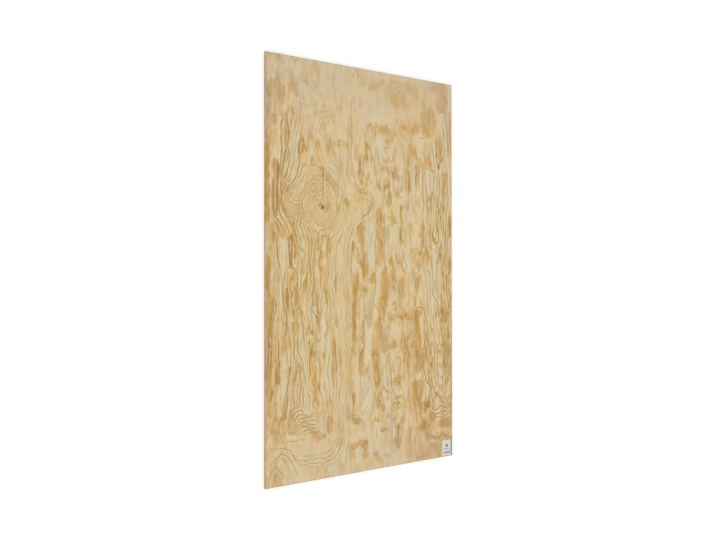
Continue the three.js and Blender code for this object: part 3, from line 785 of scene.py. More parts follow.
# Broad places that are darker (above nought) or paler: x, y, half width, half length and how much
BROAD = (
    (20, 1550, 40, 300, 0.1), (20, 950, 40, 120, 0.12), (20, 450, 40, 160, 0.1),
    (60, 1450, 60, 160, 0.08), (150, 1380, 80, 160, 0.1), (170, 1120, 70, 110, 0.12),
    (160, 900, 60, 90, 0.06), (230, 380, 200, 100, 0.1), (80, 330, 80, 80, 0.06),
    (450, 1000, 36, 240, 0.09), (565, 1140, 50, 70, 0.07), (760, 1090, 60, 70, 0.12),
    (780, 960, 50, 60, 0.1), (660, 690, 50, 110, 0.09), (790, 560, 70, 80, 0.1), (900, 360, 70, 80, 0.08),
    (1110, 290, 130, 130, 0.13), (1110, 50, 130, 90, 0.34), (970, 130, 140, 90, 0.09),
    (1195, 850, 40, 180, 0.1), (960, 920, 40, 90, 0.07), (1000, 520, 60, 100, 0.07),
    (100, 2130, 70, 140, 0.08), (140, 2290, 60, 50, 0.08), (900, 2340, 80, 70, 0.08),
    (950, 2130, 70, 60, 0.1), (1140, 2290, 80, 50, 0.1), (1100, 1840, 90, 140, -0.12),
    (1050, 1720, 80, 100, -0.1), (1150, 1640, 60, 80, -0.08), (905, 1560, 70, 160, -0.13),
    (620, 1360, 36, 130, -0.1), (650, 1220, 60, 50, -0.08), (580, 1920, 70, 120, -0.1),
    (720, 1990, 60, 80, -0.1), (760, 1740, 70, 90, -0.1), (820, 2120, 80, 50, -0.07),
    (1000, 1180, 120, 80, -0.11), (1110, 1080, 80, 80, -0.08), (1190, 1380, 50, 100, -0.08),
    (850, 1260, 70, 60, -0.08), (780, 260, 100, 45, -0.1), (580, 460, 70, 80, -0.08),
    (1090, 690, 50, 130, -0.06), (880, 1000, 80, 50, -0.06), (270, 950, 70, 80, -0.07),
    (720, 800, 40, 40, -0.08), (50, 1700, 50, 200, 0.05), (100, 2100, 50, 200, 0.06),
    (14, 780, 40, 300, 0.24), (140, 1520, 60, 120, 0.12), (150, 1090, 60, 80, 0.1),
    (100, 320, 70, 70, 0.12), (300, 780, 50, 150, 0.08), (560, 660, 40, 60, 0.1),
    (850, 1000, 60, 110, 0.1), (985, 700, 60, 240, 0.16), (1150, 900, 60, 80, 0.12),
    (1150, 190, 110, 90, 0.08), (1000, 60, 100, 80, 0.16), (500, 1980, 50, 80, 0.1),
    (970, 2120, 60, 70, 0.08), (1150, 2230, 70, 100, 0.08), (900, 2370, 50, 40, 0.1),
    (550, 1390, 24, 50, 0.08), (715, 1960, 50, 70, -0.22), (1045, 1150, 50, 60, -0.14),
    (190, 1090, 40, 100, 0.12), (670, 1400, 30, 90, -0.1), (450, 2250, 60, 90, -0.08),
    (600, 2150, 60, 70, -0.08), (850, 2040, 70, 60, -0.1), (310, 1850, 50, 50, -0.1),
    (340, 1400, 60, 80, -0.12), (20, 1350, 30, 60, -0.15), (700, 1560, 50, 60, -0.06),
    (860, 1580, 50, 60, -0.08), (1000, 1190, 80, 50, -0.1), (1130, 1080, 70, 50, -0.1),
    (930, 1000, 60, 40, -0.08), (250, 960, 40, 60, -0.08), (420, 640, 36, 120, -0.08),
    (400, 450, 70, 50, -0.08), (600, 450, 70, 60, -0.08), (780, 260, 60, 80, -0.12),
    (1130, 1880, 60, 50, -0.08), (700, 1650, 90, 600, -0.06), (700, 450, 90, 150, -0.1),
    (1110, 1800, 100, 150, -0.06), (1110, 1250, 100, 150, -0.08), (900, 1730, 80, 100, -0.04),
    (900, 1320, 80, 90, -0.04), (900, 2290, 100, 110, 0.07), (100, 90, 100, 100, 0.07),
    (100, 310, 90, 90, 0.08), (1080, 310, 100, 100, 0.04), (100, 512, 80, 90, -0.04),
    (300, 715, 80, 90, 0.1), (310, 640, 40, 70, 0.07), (90, 800, 60, 120, 0.06), (790, 900, 40, 60, 0.1),
    (60, 1860, 30, 60, -0.1), (10, 1700, 30, 120, -0.08), (15, 1290, 30, 80, -0.1),
    (730, 2075, 50, 50, -0.1), (1190, 1880, 40, 110, -0.08), (1190, 2120, 30, 60, -0.06),
    (700, 500, 40, 90, -0.08), (1180, 80, 60, 60, 0.1), (470, 2060, 60, 40, 0.08),
    (140, 1500, 60, 120, 0.05), (300, 1640, 60, 50, 0.06), (440, 1010, 40, 90, 0.08),
    (280, 980, 40, 100, -0.07), (1040, 1150, 40, 60, -0.08), (590, 850, 40, 90, -0.06),
    (820, 2290, 110, 60, 0.1), (1030, 2190, 50, 90, 0.12), (700, 2380, 160, 40, 0.06),
    (1130, 2380, 70, 80, 0.08), (290, 1620, 170, 120, 0.04), (580, 1620, 90, 90, 0.08),
    (1100, 1900, 90, 160, -0.05), (1100, 1150, 90, 90, -0.06), (900, 1930, 90, 90, 0.04),
    (900, 1120, 80, 80, 0.05), (100, 1530, 90, 100, 0.05), (100, 800, 90, 160, 0.05),
    (900, 310, 80, 90, 0.06), (1120, 110, 80, 90, 0.08), (500, 1930, 80, 80, 0.05),
    (900, 2130, 90, 80, 0.05), (700, 1430, 50, 60, -0.14), (410, 1680, 60, 70, -0.07),
    (900, 960, 50, 50, -0.08), (800, 220, 40, 90, -0.08), (960, 1160, 70, 30, -0.06),
    (560, 860, 40, 70, -0.05), (260, 980, 40, 60, -0.05), (700, 2400, 90, 40, -0.06),
    (610, 1790, 50, 40, 0.08), (770, 880, 50, 40, 0.06), (340, 890, 40, 60, 0.05),
    (410, 1200, 30, 120, 0.05), (200, 450, 50, 40, 0.05), (1080, 2060, 50, 60, 0.04),
    (150, 1360, 30, 70, -0.08), (175, 1275, 40, 40, -0.1), (1100, 80, 60, 40, 0.06),
    (1045, 2170, 40, 90, 0.1), (880, 2300, 110, 50, 0.05), (25, 780, 20, 150, 0.08),
    (1150, 240, 60, 30, 0.08), (1000, 230, 50, 40, 0.06), (90, 290, 90, 50, -0.1),
    (1085, 225, 24, 40, -0.14), (1020, 300, 50, 40, 0.1), (1110, 175, 60, 12, -0.12),
)

LATTICE = 61  # cells of noise before it repeats
BASE_RING = 0.33  # how far through a ring plain wood is
BASE_TONE = 0.35  # the tone of plain wood, from 0 at its palest to 1
TONE_LIMIT = 0.55  # how far the tone can leave that
PALE_DEPTH = 0.66  # how much of its depth and of its lean a pale strip keeps
PALE_LEAN = 0.5
FAINT_END = 0.4  # how dark a drawn line is at its ends, as a share of its middle


def smooth(t):
    """Rises gently from 0 to 1."""
    t = np.clip(t, 0, 1)
    return t * t * (3 - 2 * t)


def noise(x, y, cell_x, cell_y, seed):
    """Smooth noise from -1 to 1, in cells of cell_x by cell_y."""
    table = np.random.default_rng(seed).uniform(-1, 1, (LATTICE, LATTICE))
    u, v = x / cell_x, y / cell_y
    i, j = np.floor(u).astype(int), np.floor(v).astype(int)
    fu, fv = u - i, v - j
    fu = fu * fu * fu * (fu * (fu * 6 - 15) + 10)
    fv = fv * fv * fv * (fv * (fv * 6 - 15) + 10)
    i0, i1 = i % LATTICE, (i + 1) % LATTICE
    j0, j1 = j % LATTICE, (j + 1) % LATTICE
    low = table[i0, j0] * (1 - fu) + table[i1, j0] * fu
    high = table[i0, j1] * (1 - fu) + table[i1, j1] * fu
    return low * (1 - fv) + high * fv


def away(x, y, cx, cy, right, up, left, down, roundness):
    """How far out a place is from the middle of a shape, as a share of its reach that way."""
    u = np.abs(x - cx) / np.where(x > cx, right, left)
    v = np.abs(y - cy) / np.where(y > cy, up, down)
    return (u ** roundness + v ** roundness + 0.003) ** (1 / roundness)


def blunt(x, y, cx, cy, half_width, half_length):
    """A blunt hill, one at its middle and nearly nought well past its half width and half length."""
    return np.exp(-(((x - cx) / half_width) ** 4) - ((y - cy) / half_length) ** 4)


def lay_out(x, y, table, widen=1.0, lengthen=1.0):
    """The sum of a table's level patches with blunt ends, and of the soft rises that they stand on."""
    level, rise = 0, 0
    for cx, cy, half_width, half_length, height in table:
        across = (x - cx) / (half_width * widen)
        along = (y - cy) / (half_length * lengthen)
        across, along = across * across, along * along
        out = np.sqrt(across * across + along * along)
        level = level + height * np.exp(-out * out * out)
        rise = rise + math.copysign(min(abs(height) * 2.4, 1), height) * np.exp(-out)
    return level, rise


def streak(x, y, cx, cy, half_width, half_length, height, side):
    """A patch that darkens across to one side and ends there at a sharp edge."""
    v = np.clip(np.abs(y - cy) / half_length, 0, 1)
    width = half_width * np.sqrt(1 - v ** 3) + 1
    u = side * (x - cx) / width
    gentle = smooth((u + 1.3) / 2.0)
    sharp = smooth((1.0 + 4 / width - u) * width / 8)
    return height * gentle * sharp * smooth((1 - v) * 6)


def stem_value(y, column):
    """One column of STEM at each y, smoothed between its rows."""
    heights = np.arange(-100, 2541, 10.0)
    values = np.interp(heights, [row[0] for row in STEM], [row[column] for row in STEM])
    weights = np.exp(-((np.arange(-12, 13) / 5.0) ** 2))
    values = np.convolve(np.pad(values, 12, mode="edge"), weights / weights.sum(), mode="valid")
    return np.interp(y, heights, values)


def broad_tone(x, y):
    """The soft differences in tone from place to place."""
    total = 0
    for cx, cy, half_width, half_length, height in BROAD:
        total = total + height * np.exp(-(((x - cx) / half_width) ** 2) - ((y - cy) / half_length) ** 2)
    return total


def line_distance(x, y, points):
    """How far each place is from a line through the points."""
    nearest = np.full(x.shape, 1e9)
    for (ax, ay), (bx, by) in zip(points, points[1:]):
        dx, dy = bx - ax, by - ay
        share = np.clip(((x - ax) * dx + (y - ay) * dy) / (dx * dx + dy * dy), 0, 1)
        nearest = np.minimum(nearest, np.hypot(x - ax - share * dx, y - ay - share * dy))
    return nearest


def drawn_lines(x, y):
    """How near each place is to its nearest drawn line, one on it, and how dark that line is there."""
    near = np.zeros(x.shape)
    weight = np.zeros(x.shape)
    for darkness, *points in LINES:
        gap = line_distance(x, y, points) / LINE_REACH
        ends = np.minimum(*(np.hypot(x - end_x, y - end_y) for end_x, end_y in (points[0], points[-1])))
        fading = FAINT_END + (1 - FAINT_END) * smooth(ends / LINE_END)
        nearer = np.exp(-gap * gap)
        weight = np.where(nearer > near, darkness * fading, weight)
        near = np.maximum(near, nearer)
    lobe = blunt(x, y, 610, 1620, 80, 110)
    return near, weight * (1 + 0.12 * smooth((x - 960) / 60)) * (1 - 0.3 * lobe)


def strips(x, y, hue):
    """How much the drawn strips deepen the tone, the hue with them, and how near their borders are."""
    mx = x + 2.5 * noise(x, y, 13, 70, 26) + 4.5 * noise(x, y, 26, 38, 37)
    frayed = 0.25 + 0.75 * smooth((y - 180) / 300)
    fray = 20 * noise(x, y, 17, 160, 38) + 9 * noise(x, y, 11, 80, 28)
    my = y + frayed * fray + 5 * noise(x, y, 9, 36, 29)
    uneven = 1 + 0.25 * noise(x, y, 30, 70, 27)
    mottle = 1 + 0.45 * noise(x, y, 9, 46, 35) + 0.35 * noise(x, y, 24, 60, 36)
    deeper = np.zeros(x.shape)
    within = np.full(x.shape, -99.0)
    for depth, lean, half_width, *points in STRIPS:
        inside = half_width * uneven - line_distance(mx, my, points)
        soft = 3 + 0.2 * half_width
        share = smooth((inside + soft) / (2 * soft))
        if depth > 0:
            deeper = np.maximum(deeper, deeper + (depth * mottle - deeper) * share)
            within = np.maximum(within, inside)
        else:
            deeper = deeper + (PALE_DEPTH * depth - deeper) * share
            lean = PALE_LEAN * lean
        hue = hue + lean * share
    border = np.exp(-((within / LINE_REACH) ** 2)) + 0.12 * noise(x, y, 30, 60, 19) - 0.1
    return deeper, hue, border


def stem_rings(x, y):
    """The rings of the stem: a long ridge with a folded lower end."""
    left, crest, right, rings = (stem_value(y, column) for column in (1, 2, 3, 4))
    up_left = (x - left) / (crest - left)
    up_right = (right - x) / (right - crest)
    top = 1.1 - 0.38 * smooth((y - 1700) / 140)
    ridge = -np.log(np.exp(-9 * up_left) + np.exp(-9 * up_right) + np.exp(-9 * top)) / 9
    fold = np.interp(x, [row[0] for row in FOLDS], [row[1] for row in FOLDS])
    end = (y - fold - FOLD_START) / FOLD_STEP
    return np.minimum(rings * ridge, end)


def behind_outline(x, y):
    """How far each place is inside the stem's outline, on its right side."""
    edge = np.interp(-y, [-row[1] for row in OUTLINE], [row[0] for row in OUTLINE])
    return np.minimum(line_distance(x, y, OUTLINE) * np.sign(edge - x), y - 215)


def left_strip(x, y):
    """One in the plain strip along the left side of the face, and nought elsewhere."""
    return smooth((110 - x) / 40) * smooth((y - 330) / 60)


def ring_height(x, y, rise):
    """Through how many rings the cut has gone at x, y in millimetres."""
    shift_x = 7 * noise(x, y, 60, 160, 11) + 4 * noise(x, y, 24, 60, 12)
    shift_y = 16 * noise(x, y, 40, 200, 13) + 8 * noise(x, y, 17, 90, 14)
    knot = blunt(x, y, 320, 1600, 190, 170)
    kink = 2.2 * noise(x, y, 14, 26, 33) * (1 - 0.7 * knot)
    px, py = x + shift_x * (1 - 0.5 * knot) + kink, y + shift_y * (1 - 0.5 * knot)
    height = stem_rings(px, py)
    wander = 0.8 * noise(px, y, 33, 520, 3) + 0.4 * noise(px, y, 17, 150, 4)
    wander = wander + 0.3 * noise(px, y, 11, 60, 25)
    body = smooth((px - 90) / 60) * smooth((500 - px) / 60) * smooth((py - 470) / 60)
    height = height + wander * body * (1 - 0.5 * knot)
    for cx, cy, right, up, left, down, rings, roundness in WHORLS:
        height = height + rings * np.maximum(1 - away(px, py, cx, cy, right, up, left, down, roundness), 0)
    behind = behind_outline(px, py)
    level = OUTLINE_RINGS * np.clip(behind / OUTLINE_REACH, -1, 1) * smooth((px - 380) / 60)
    height = np.maximum(np.maximum(height, level), 0)
    foot = np.hypot(np.minimum(px - 330, 0) / 245, np.minimum(py - 330, 0) / 190)
    low = smooth((330 - py) / 60) * smooth((560 - px) / 140)
    height = height - 4 * np.clip((foot - 1.0) / 0.36, 0, 1) * low
    corner = 1 - away(px, py, 88, -20, 92, 215, 96, 100, 1.3)
    height = height + 3 * np.maximum(corner, 0)
    arch = 1 - away(px, py, 1136, 860, 84, 4000, 140, 520, 1.7)
    wander = 0.5 * noise(px, y, 27, 500, 8) + 0.2 * noise(px, y, 13, 160, 18)
    height = height + (7 * arch + wander * smooth(arch * 4)) * (arch > 0)
    outside = smooth(-behind / 30) * smooth((px - 480) / 30) * smooth((y - 60) / 100)
    height = height + outside * (rise + 0.7 * noise(x, y, 36, 300, 22) + 0.3 * noise(x, y, 15, 110, 23))
    height = height + left_strip(x, y) * (0.9 * noise(x, y, 24, 400, 24))
    return BASE_RING + height


def ring_strength(x, y):
    """How strongly the ring lines show at each place: less where lines are drawn."""
    stem = smooth((x - 40) / 50) * smooth((540 - x) / 40)
    stem = stem * smooth((2330 - y) / 400) * smooth((y - 200) / 90)
    drawn = 0.35 * blunt(x, y, 330, 1640, 110, 190)
    drawn = np.maximum(drawn, 0.6 * blunt(x, y, 325, 1930, 95, 170))
    drawn = np.maximum(drawn, 0.55 * blunt(x, y, 540, 1610, 130, 140))
    foot = smooth((450 - y) / 50) * smooth((y - 200) / 40) * smooth((600 - x) / 60)
    drawn = np.maximum(drawn, 0.7 * foot)
    low = 0.35 * smooth((260 - y) / 60) * smooth((520 - x) / 120)
    side = 0.88 * smooth((x - 960) / 70) * smooth((2050 - y) / 200) * smooth((y - 250) / 60)
    middle = 0.52 * smooth((x - 480) / 40) * smooth((2200 - y) / 300) * smooth((y - 60) / 100)
    strength = np.maximum(0.8 * stem * (1 - drawn) + low, np.maximum(side, middle * (1 - drawn)))
    return np.clip(np.maximum(strength, 0.4 * left_strip(x, y)), 0, 1)


def patches(x, y):
    """Tone and rise of the soft patches and the sharp-sided streaks, with their ragged edges."""
    shift_y = 17 * noise(x, y, 34, 230, 13) + 8 * noise(x, y, 20, 90, 14)
    calm = 1 - 0.75 * smooth((y - 2000) / 120) * smooth((x - 500) / 60)
    steady = 0.3 + 0.7 * smooth((x - 40) / 60)
    mx = x + (6 * noise(x, y, 30, 110, 15) + 3 * noise(x, y, 12, 34, 16)) * steady
    my = y + (shift_y + 18 * noise(x, y, 15, 110, 17) + 8 * noise(x, y, 9, 40, 18)) * calm
    tone, rise = lay_out(mx, my, SOFT_RIGHT + SOFT_LEFT, 1.12, 1.3)
    sharp = 0
    for row in SHARP_RIGHT:
        sharp = np.maximum(sharp, streak(mx, my, *row))
    tone = np.maximum(tone, sharp)
    steps = 0.26 * smooth((tone - 0.1) / 0.1) + 0.2 * smooth((tone - 0.38) / 0.1)
    steps = steps - 0.2 * smooth((-tone - 0.07) / 0.1)
    middle = smooth((x - 500) / 80) * smooth((940 - x) / 60)
    return (0.5 * tone + 0.36 * steps) * (1 - 0.3 * middle), rise + sharp


def tone_figure(x, y, tone, ring):
    """How pale or tan the wood is at x, y in millimetres."""
    stem = smooth((500 - x) / 50) * smooth((x - 90) / 50)
    stem = stem * smooth((y - 420) / 80) * smooth((2150 - y) / 200)
    knot = np.exp(-(((x - 345) / 190) ** 2) - ((y - 1610) / 160) ** 2)
    along = noise(ring, y, 1.0, 240, 31) * 0.26 + noise(ring, y, 0.5, 100, 32) * 0.12
    plain = (1 - 0.55 * stem) * (1 - 0.35 * smooth((y - 1980) / 120) * smooth((x - 130) / 60))
    fine = 0.12 * noise(x, y, 34, 130, 5) + 0.15 * noise(x, y, 15, 50, 6) + 0.14 * noise(x, y, 9, 24, 7)
    tone = tone + stem * (1 - 0.8 * knot) * along + plain * fine
    return tone + broad_tone(x, y) + 0.08 * smooth((110 - x) / 60) + 0.04 * smooth((x - 980) / 80)


def hue_figure(x, y):
    """Mustard above nought and pink below it."""
    belt = 0.42 * smooth((y - 400) / 400) * smooth((2000 - y) / 400) - 0.2
    uneven = 0.35 * noise(x, y, 60, 150, 9) + 0.3 * noise(x, y, 22, 50, 10)
    return lay_out(x, y, HUES, 1.1)[0] + belt + uneven


def face_figure(x, y):
    """Tone, hue, ring and its strength, nearness and weight of the drawn lines, and the strips' borders."""
    tone, rise = patches(x, y)
    ring = ring_height(x, y, rise)
    tone = tone_figure(x, y, tone, ring)
    wave_x = x + 3 * noise(x, y, 14, 40, 20) + 1.6 * noise(x, y, 12, 20, 34)
    wave_y = y + 5 * noise(x, y, 16, 50, 21)
    deeper, hue, border = strips(wave_x, wave_y, hue_figure(x, y))
    tone = BASE_TONE + TONE_LIMIT * np.tanh((tone + deeper) / TONE_LIMIT)
    near, weight = drawn_lines(wave_x, wave_y)
    strength = ring_strength(x, y) * (1 - 0.85 * near ** 4 * smooth((weight - 0.3) / 0.2))
    return tone, hue, ring, strength, near, weight, border


# ---------------------------------------------------------------- shaping


def board_mesh():
    """A closed block whose face is cut into small cells, so that it can carry the figure."""
    mesh = bmesh.new()
    middle = (SHEET_LOW + SHEET_HIGH) / 2
    size = Matrix.Diagonal((SHEET_WIDTH, SHEET_LENGTH, 1, 1))
    place = Matrix.Translation((middle.x, middle.y, SHEET_HIGH.z))
    bmesh.ops.create_grid(
        mesh, x_segments=CELLS_ACROSS, y_segments=CELLS_ALONG, size=0.5, matrix=place @ size
    )
    outline = [edge for edge in mesh.edges if edge.is_boundary]
    grown = bmesh.ops.extrude_edge_only(mesh, edges=outline)["geom"]
    below = [part for part in grown if isinstance(part, bmesh.types.BMVert)]
    bmesh.ops.translate(mesh, verts=below, vec=(0, 0, -SHEET_THICKNESS))
    outline = [edge for edge in mesh.edges if edge.is_boundary]
    bmesh.ops.triangle_fill(mesh, edges=outline, use_beauty=True, use_dissolve=False)
    bmesh.ops.recalc_face_normals(mesh, faces=mesh.faces[:])
    rim = [edge for edge in mesh.edges if edge.calc_face_angle() > RIM_ANGLE]
    bmesh.ops.bevel(
        mesh, geom=rim, offset=ARRIS, segments=ARRIS_STEPS, profile=0.5, affect="EDGES", material=-1
    )
    return mesh


def assign_surfaces(mesh):
    """Face, sawn edges and back each take their own material."""
    for face in mesh.faces:
        if face.normal.z > SIDE_LIMIT:
            face.material_index = FACE_MATERIAL
        elif face.normal.z < -SIDE_LIMIT:
            face.material_index = BACK_MATERIAL
        else:
            face.material_index = EDGE_MATERIAL


def store_figure(data):
    """Writes the figure of the face on the board's points."""
    points = np.zeros(len(data.vertices) * 3)
    data.vertices.foreach_get("co", points)
    points = points.reshape(-1, 3)
    x = (points[:, 0] - SHEET_LOW.x) / MM
    y = (points[:, 1] - SHEET_LOW.y) / MM
    tone, hue, ring, strength, near, weight, edge = face_figure(x, y)
    spare = np.zeros(len(points))
    layers = {"wood": (tone, hue, spare), "rings": (ring, strength, spare), "lines": (near, weight, edge)}
    for name, parts in layers.items():
        layer = data.attributes.new(name, "FLOAT_VECTOR", "POINT")
        layer.data.foreach_set("vector", np.stack(parts, 1).astype(np.float32).ravel())


def make_board(materials):
    """The sheet itself, in one piece."""
    mesh = board_mesh()
    assign_surfaces(mesh)
    data = bpy.data.meshes.new("plywood_board")
    mesh.to_mesh(data)
    mesh.free()
    store_figure(data)
    for material in materials:
        data.materials.append(material)
    board = bpy.data.objects.new("plywood_board", data)
    bpy.context.scene.collection.objects.link(board)
    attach(board, "root")
    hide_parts("plywood_sheet")
    return board


# ---------------------------------------------------------------- paint


def colour(red, green, blue):
    """A screen colour from 0 to 255 as the linear colour that the shader takes."""
    linear = []
    for part in (red, green, blue):
        part = part / 255
        linear.append(part / 12.92 if part <= 0.04045 else ((part + 0.055) / 1.055) ** 2.4)
    return (*linear, 1.0)


class Value:
    """A number on its way through a material. Sums on it add Math nodes."""

    def __init__(self, nodes, socket):
        self.nodes = nodes
        self.socket = socket

    def math(self, operation, *values):
        return self.nodes.node("ShaderNodeMath", {"operation": operation}, dict(enumerate(values)))

    def __add__(self, other):
        return self.math("ADD", self, other)

    def __radd__(self, other):
        return self.math("ADD", other, self)

    def __sub__(self, other):
        return self.math("SUBTRACT", self, other)

    def __rsub__(self, other):
        return self.math("SUBTRACT", other, self)

    def __mul__(self, other):
        return self.math("MULTIPLY", self, other)

    def __rmul__(self, other):
        return self.math("MULTIPLY", other, self)

    def __truediv__(self, other):
        return self.math("DIVIDE", self, other)

    def __rtruediv__(self, other):
        return self.math("DIVIDE", other, self)

    def __pow__(self, other):
        return self.math("POWER", self, other)

    def __abs__(self):
        return self.math("ABSOLUTE", self)

    def fraction(self):
        return self.math("FRACT", self)

    def least(self, other):
        return self.math("MINIMUM", self, other)

    def most(self, other):
        return self.math("MAXIMUM", self, other)

    def ramp(self, low, high, start=0.0, end=1.0):
        """Goes smoothly from start to end as the value goes from low to high."""
        return self.nodes.node(
            "ShaderNodeMapRange",
            {"interpolation_type": "SMOOTHSTEP"},
            {"Value": self, "From Min": low, "From Max": high, "To Min": start, "To Max": end},
        )


def fill_ramp(ramp, stops):
    """Gives a colour ramp its stops, each with its position and its colour."""
    for position, _ in stops[2:]:
        ramp.elements.new(position)
    for element, (position, tone) in zip(ramp.elements, stops):
        element.position = position
        element.color = tone


class Nodes:
    """The nodes of a material or of the sky, all added in one way."""

    def __init__(self, tree):
        self.tree = tree

    def node(self, kind, settings=None, values=None, output=0):
        """Adds one node, with its settings first and then the values or links of its sockets.

        It gives the output asked for by number or name, or a dictionary of them all for None.
        """
        made = self.tree.nodes.new(kind)
        for name, setting in (settings or {}).items():
            if name == "stops":
                fill_ramp(made.color_ramp, setting)
            else:
                setattr(made, name, setting)
        for name, value in (values or {}).items():
            self.put(made.inputs[name], value)
        if output is None:
            return {socket.name: Value(self, socket) for socket in made.outputs}
        return Value(self, made.outputs[output])

    def put(self, socket, value):
        """A value links to a socket, and a plain number or colour is set on it."""
        if isinstance(value, Value):
            self.tree.links.new(value.socket, socket)
        else:
            socket.default_value = value


class Paint(Nodes):
    """A material and the patterns that it is made of."""

    def __init__(self, name):
        self.material = bpy.data.materials.new(name)
        self.material.use_nodes = True
        super().__init__(self.material.node_tree)
        self.shader = self.tree.nodes["Principled BSDF"]

    def set(self, **sockets):
        """Sets or links the shader's own sockets."""
        for name, value in sockets.items():
            self.put(self.shader.inputs[name.replace("_", " ").title().replace("Ior", "IOR")], value)

    def place(self):
        """The point on the piece, in metres, as a vector and as its three parts."""
        spot = self.node("ShaderNodeTexCoord", output="Object")
        parts = self.split(spot)
        return spot, parts

    def split(self, vector):
        """The three parts of a vector."""
        return list(self.node("ShaderNodeSeparateXYZ", None, {0: vector}, None).values())

    def stored(self, name):
        """The three numbers stored under that name on the board's points."""
        layer = self.node(
            "ShaderNodeAttribute", {"attribute_type": "GEOMETRY", "attribute_name": name}, output="Vector"
        )
        return self.split(layer)

    def mix(self, first, second, share):
        """From the first colour to the second."""
        return self.node(
            "ShaderNodeMix", {"data_type": "RGBA", "clamp_factor": True}, {0: share, 6: first, 7: second}, 2
        )

    def tint(self, first, second, share=1.0):
        """The first colour times the second."""
        return self.node(
            "ShaderNodeMix",
            {"data_type": "RGBA", "blend_type": "MULTIPLY", "clamp_factor": True},
            {0: share, 6: first, 7: second},
            2,
        )

    def stops(self, value, stops):
        """The colour that the value has between those stops."""
        return self.node("ShaderNodeValToRGB", {"stops": stops}, {0: value})

    def grain(self, spot, scale, seed, detail=1.0, rough=0.5):
        """Noise from about -1 to 1, with so many waves a metre along x, y and z."""
        spread = self.node(
            "ShaderNodeVectorMath",
            {"operation": "MULTIPLY_ADD"},
            {0: spot, 1: scale, 2: (seed * 7.31, seed * 3.77, seed * 5.13)},
        )
        made = self.node(
            "ShaderNodeTexNoise",
            {"noise_dimensions": "3D"},
            {"Vector": spread, "Scale": 1.0, "Detail": detail, "Roughness": rough},
        )
        return (made - 0.5) * 4

    def bump(self, height, strength, distance):
        """A bump on the shader's normal."""
        raised = self.node(
            "ShaderNodeBump", None, {"Height": height, "Strength": strength, "Distance": distance}
        )
        self.put(self.shader.inputs["Normal"], raised)


# ---------------------------------------------------------------- finishes

# The colour of the wood from palest to deepest
TONES = (
    (0.0, colour(218, 201, 168)),
    (0.15, colour(218, 199, 163)),
    (0.30, colour(219, 197, 154)),
    (0.42, colour(217, 190, 142)),
    (0.60, colour(212, 176, 119)),
    (0.80, colour(202, 162, 104)),
    (1.0, colour(188, 145, 84)),
)

# How far through a ring, and what the wood's colour is multiplied by there: its line is near its end
RING_TINTS = (
    (0.0, colour(255, 255, 255)),
    (0.42, colour(254, 253, 250)),
    (0.62, colour(243, 239, 230)),
    (0.80, colour(221, 214, 198)),
    (0.92, colour(215, 207, 190)),
    (1.0, colour(251, 249, 246)),
)
PINK_TINT = colour(252, 248, 255)
MUSTARD_TINT = colour(254, 252, 222)
LINE_TINT = colour(214, 208, 190)
# Greyed tint for the face near its edges: partly wear, partly painted shade at the edges
EDGE_WEAR_AND_SHADE_TINT = colour(232, 234, 246)
PALE_MARGIN = colour(228, 207, 166)
SOILED = colour(184, 177, 162)
HANDLED = colour(138, 126, 112)
TAN = colour(208, 172, 115)
KNOT_CORE = colour(116, 88, 48)
KNOT_RING = colour(162, 120, 74)

# The grains of the wood, in waves a metre across, along and through the sheet
BROAD_GRAIN = (110, 18, 1)
NARROW_GRAIN = (300, 60, 1)
SPECKS = (90, 75, 1)
FIBRES = (700, 16, 1)
THREADS = (2600, 40, 1)

SOILED_SHARE = 0.26
HANDLED_SHARE = 0.6
WOOD_ROUGHNESS = 0.66
WOOD_SPECULAR = 0.35

# The knots of the face: x, y, half width, half length and how dark each is
KNOTS = ((336, 1588, 6, 15, 1.0),)


def knot_mask(paint, spot, parts, knots):
    """How much each place belongs to a knot."""
    mask = 0.0
    wobble = paint.grain(spot, (90, 60, 1), 9)
    for x, y, half_width, half_length, darkness in knots:
        across = (parts[0] - (SHEET_LOW.x + x * MM)) / (half_width * MM)
        along = (parts[1] - (SHEET_LOW.y + y * MM)) / (half_length * MM)
        reach = (across * across + along * along) ** 0.5 + wobble * 0.25
        mask = reach.ramp(1.4, 0.6, 0, darkness) + mask
    return mask


def veneer(paint, spot, tone, hue, ring, strength, seed):
    """The colour of rotary-cut pine, with how dark its ring is there and its fibre."""
    broad = paint.grain(spot, BROAD_GRAIN, seed + 1)
    narrow = paint.grain(spot, NARROW_GRAIN, seed + 2)
    speck = paint.grain(spot, SPECKS, seed + 4)
    fibre = paint.grain(spot, FIBRES, seed + 3, 3.0, 0.7)
    thread = paint.grain(spot, THREADS, seed + 5, 2.0, 0.6)
    phase = (ring + broad * 0.07 + narrow * 0.03).fraction()
    late = phase.ramp(0.4, 0.9) * strength
    flank = (phase * 0.34 - 0.16) * strength
    base = paint.stops(tone + flank + broad * 0.05 + narrow * 0.03 + speck * 0.045, TONES)
    base = paint.tint(base, paint.stops(phase, RING_TINTS), strength)
    base = paint.tint(base, PINK_TINT, hue * -1.2)
    base = paint.tint(base, MUSTARD_TINT, hue * 0.8)
    canals = thread.ramp(0.9, 1.5, 0, 0.1)
    bright = phase.ramp(0.34, 0.06, 0, 0.06) * strength + fibre * 0.055 + thread * 0.04 - canals + 1
    streak = paint.node("ShaderNodeCombineColor", None, {k: bright for k in range(3)})
    return paint.tint(base, streak), late, fibre, narrow


def border(parts, near, far):
    """One within near millimetres of the edge of the face, and nought beyond far."""
    across = SHEET_WIDTH / 2 - abs(parts[0] - (SHEET_LOW.x + SHEET_HIGH.x) / 2)
    along = SHEET_LENGTH / 2 - abs(parts[1] - (SHEET_LOW.y + SHEET_HIGH.y) / 2)
    return across.least(along).ramp(far * MM, near * MM)


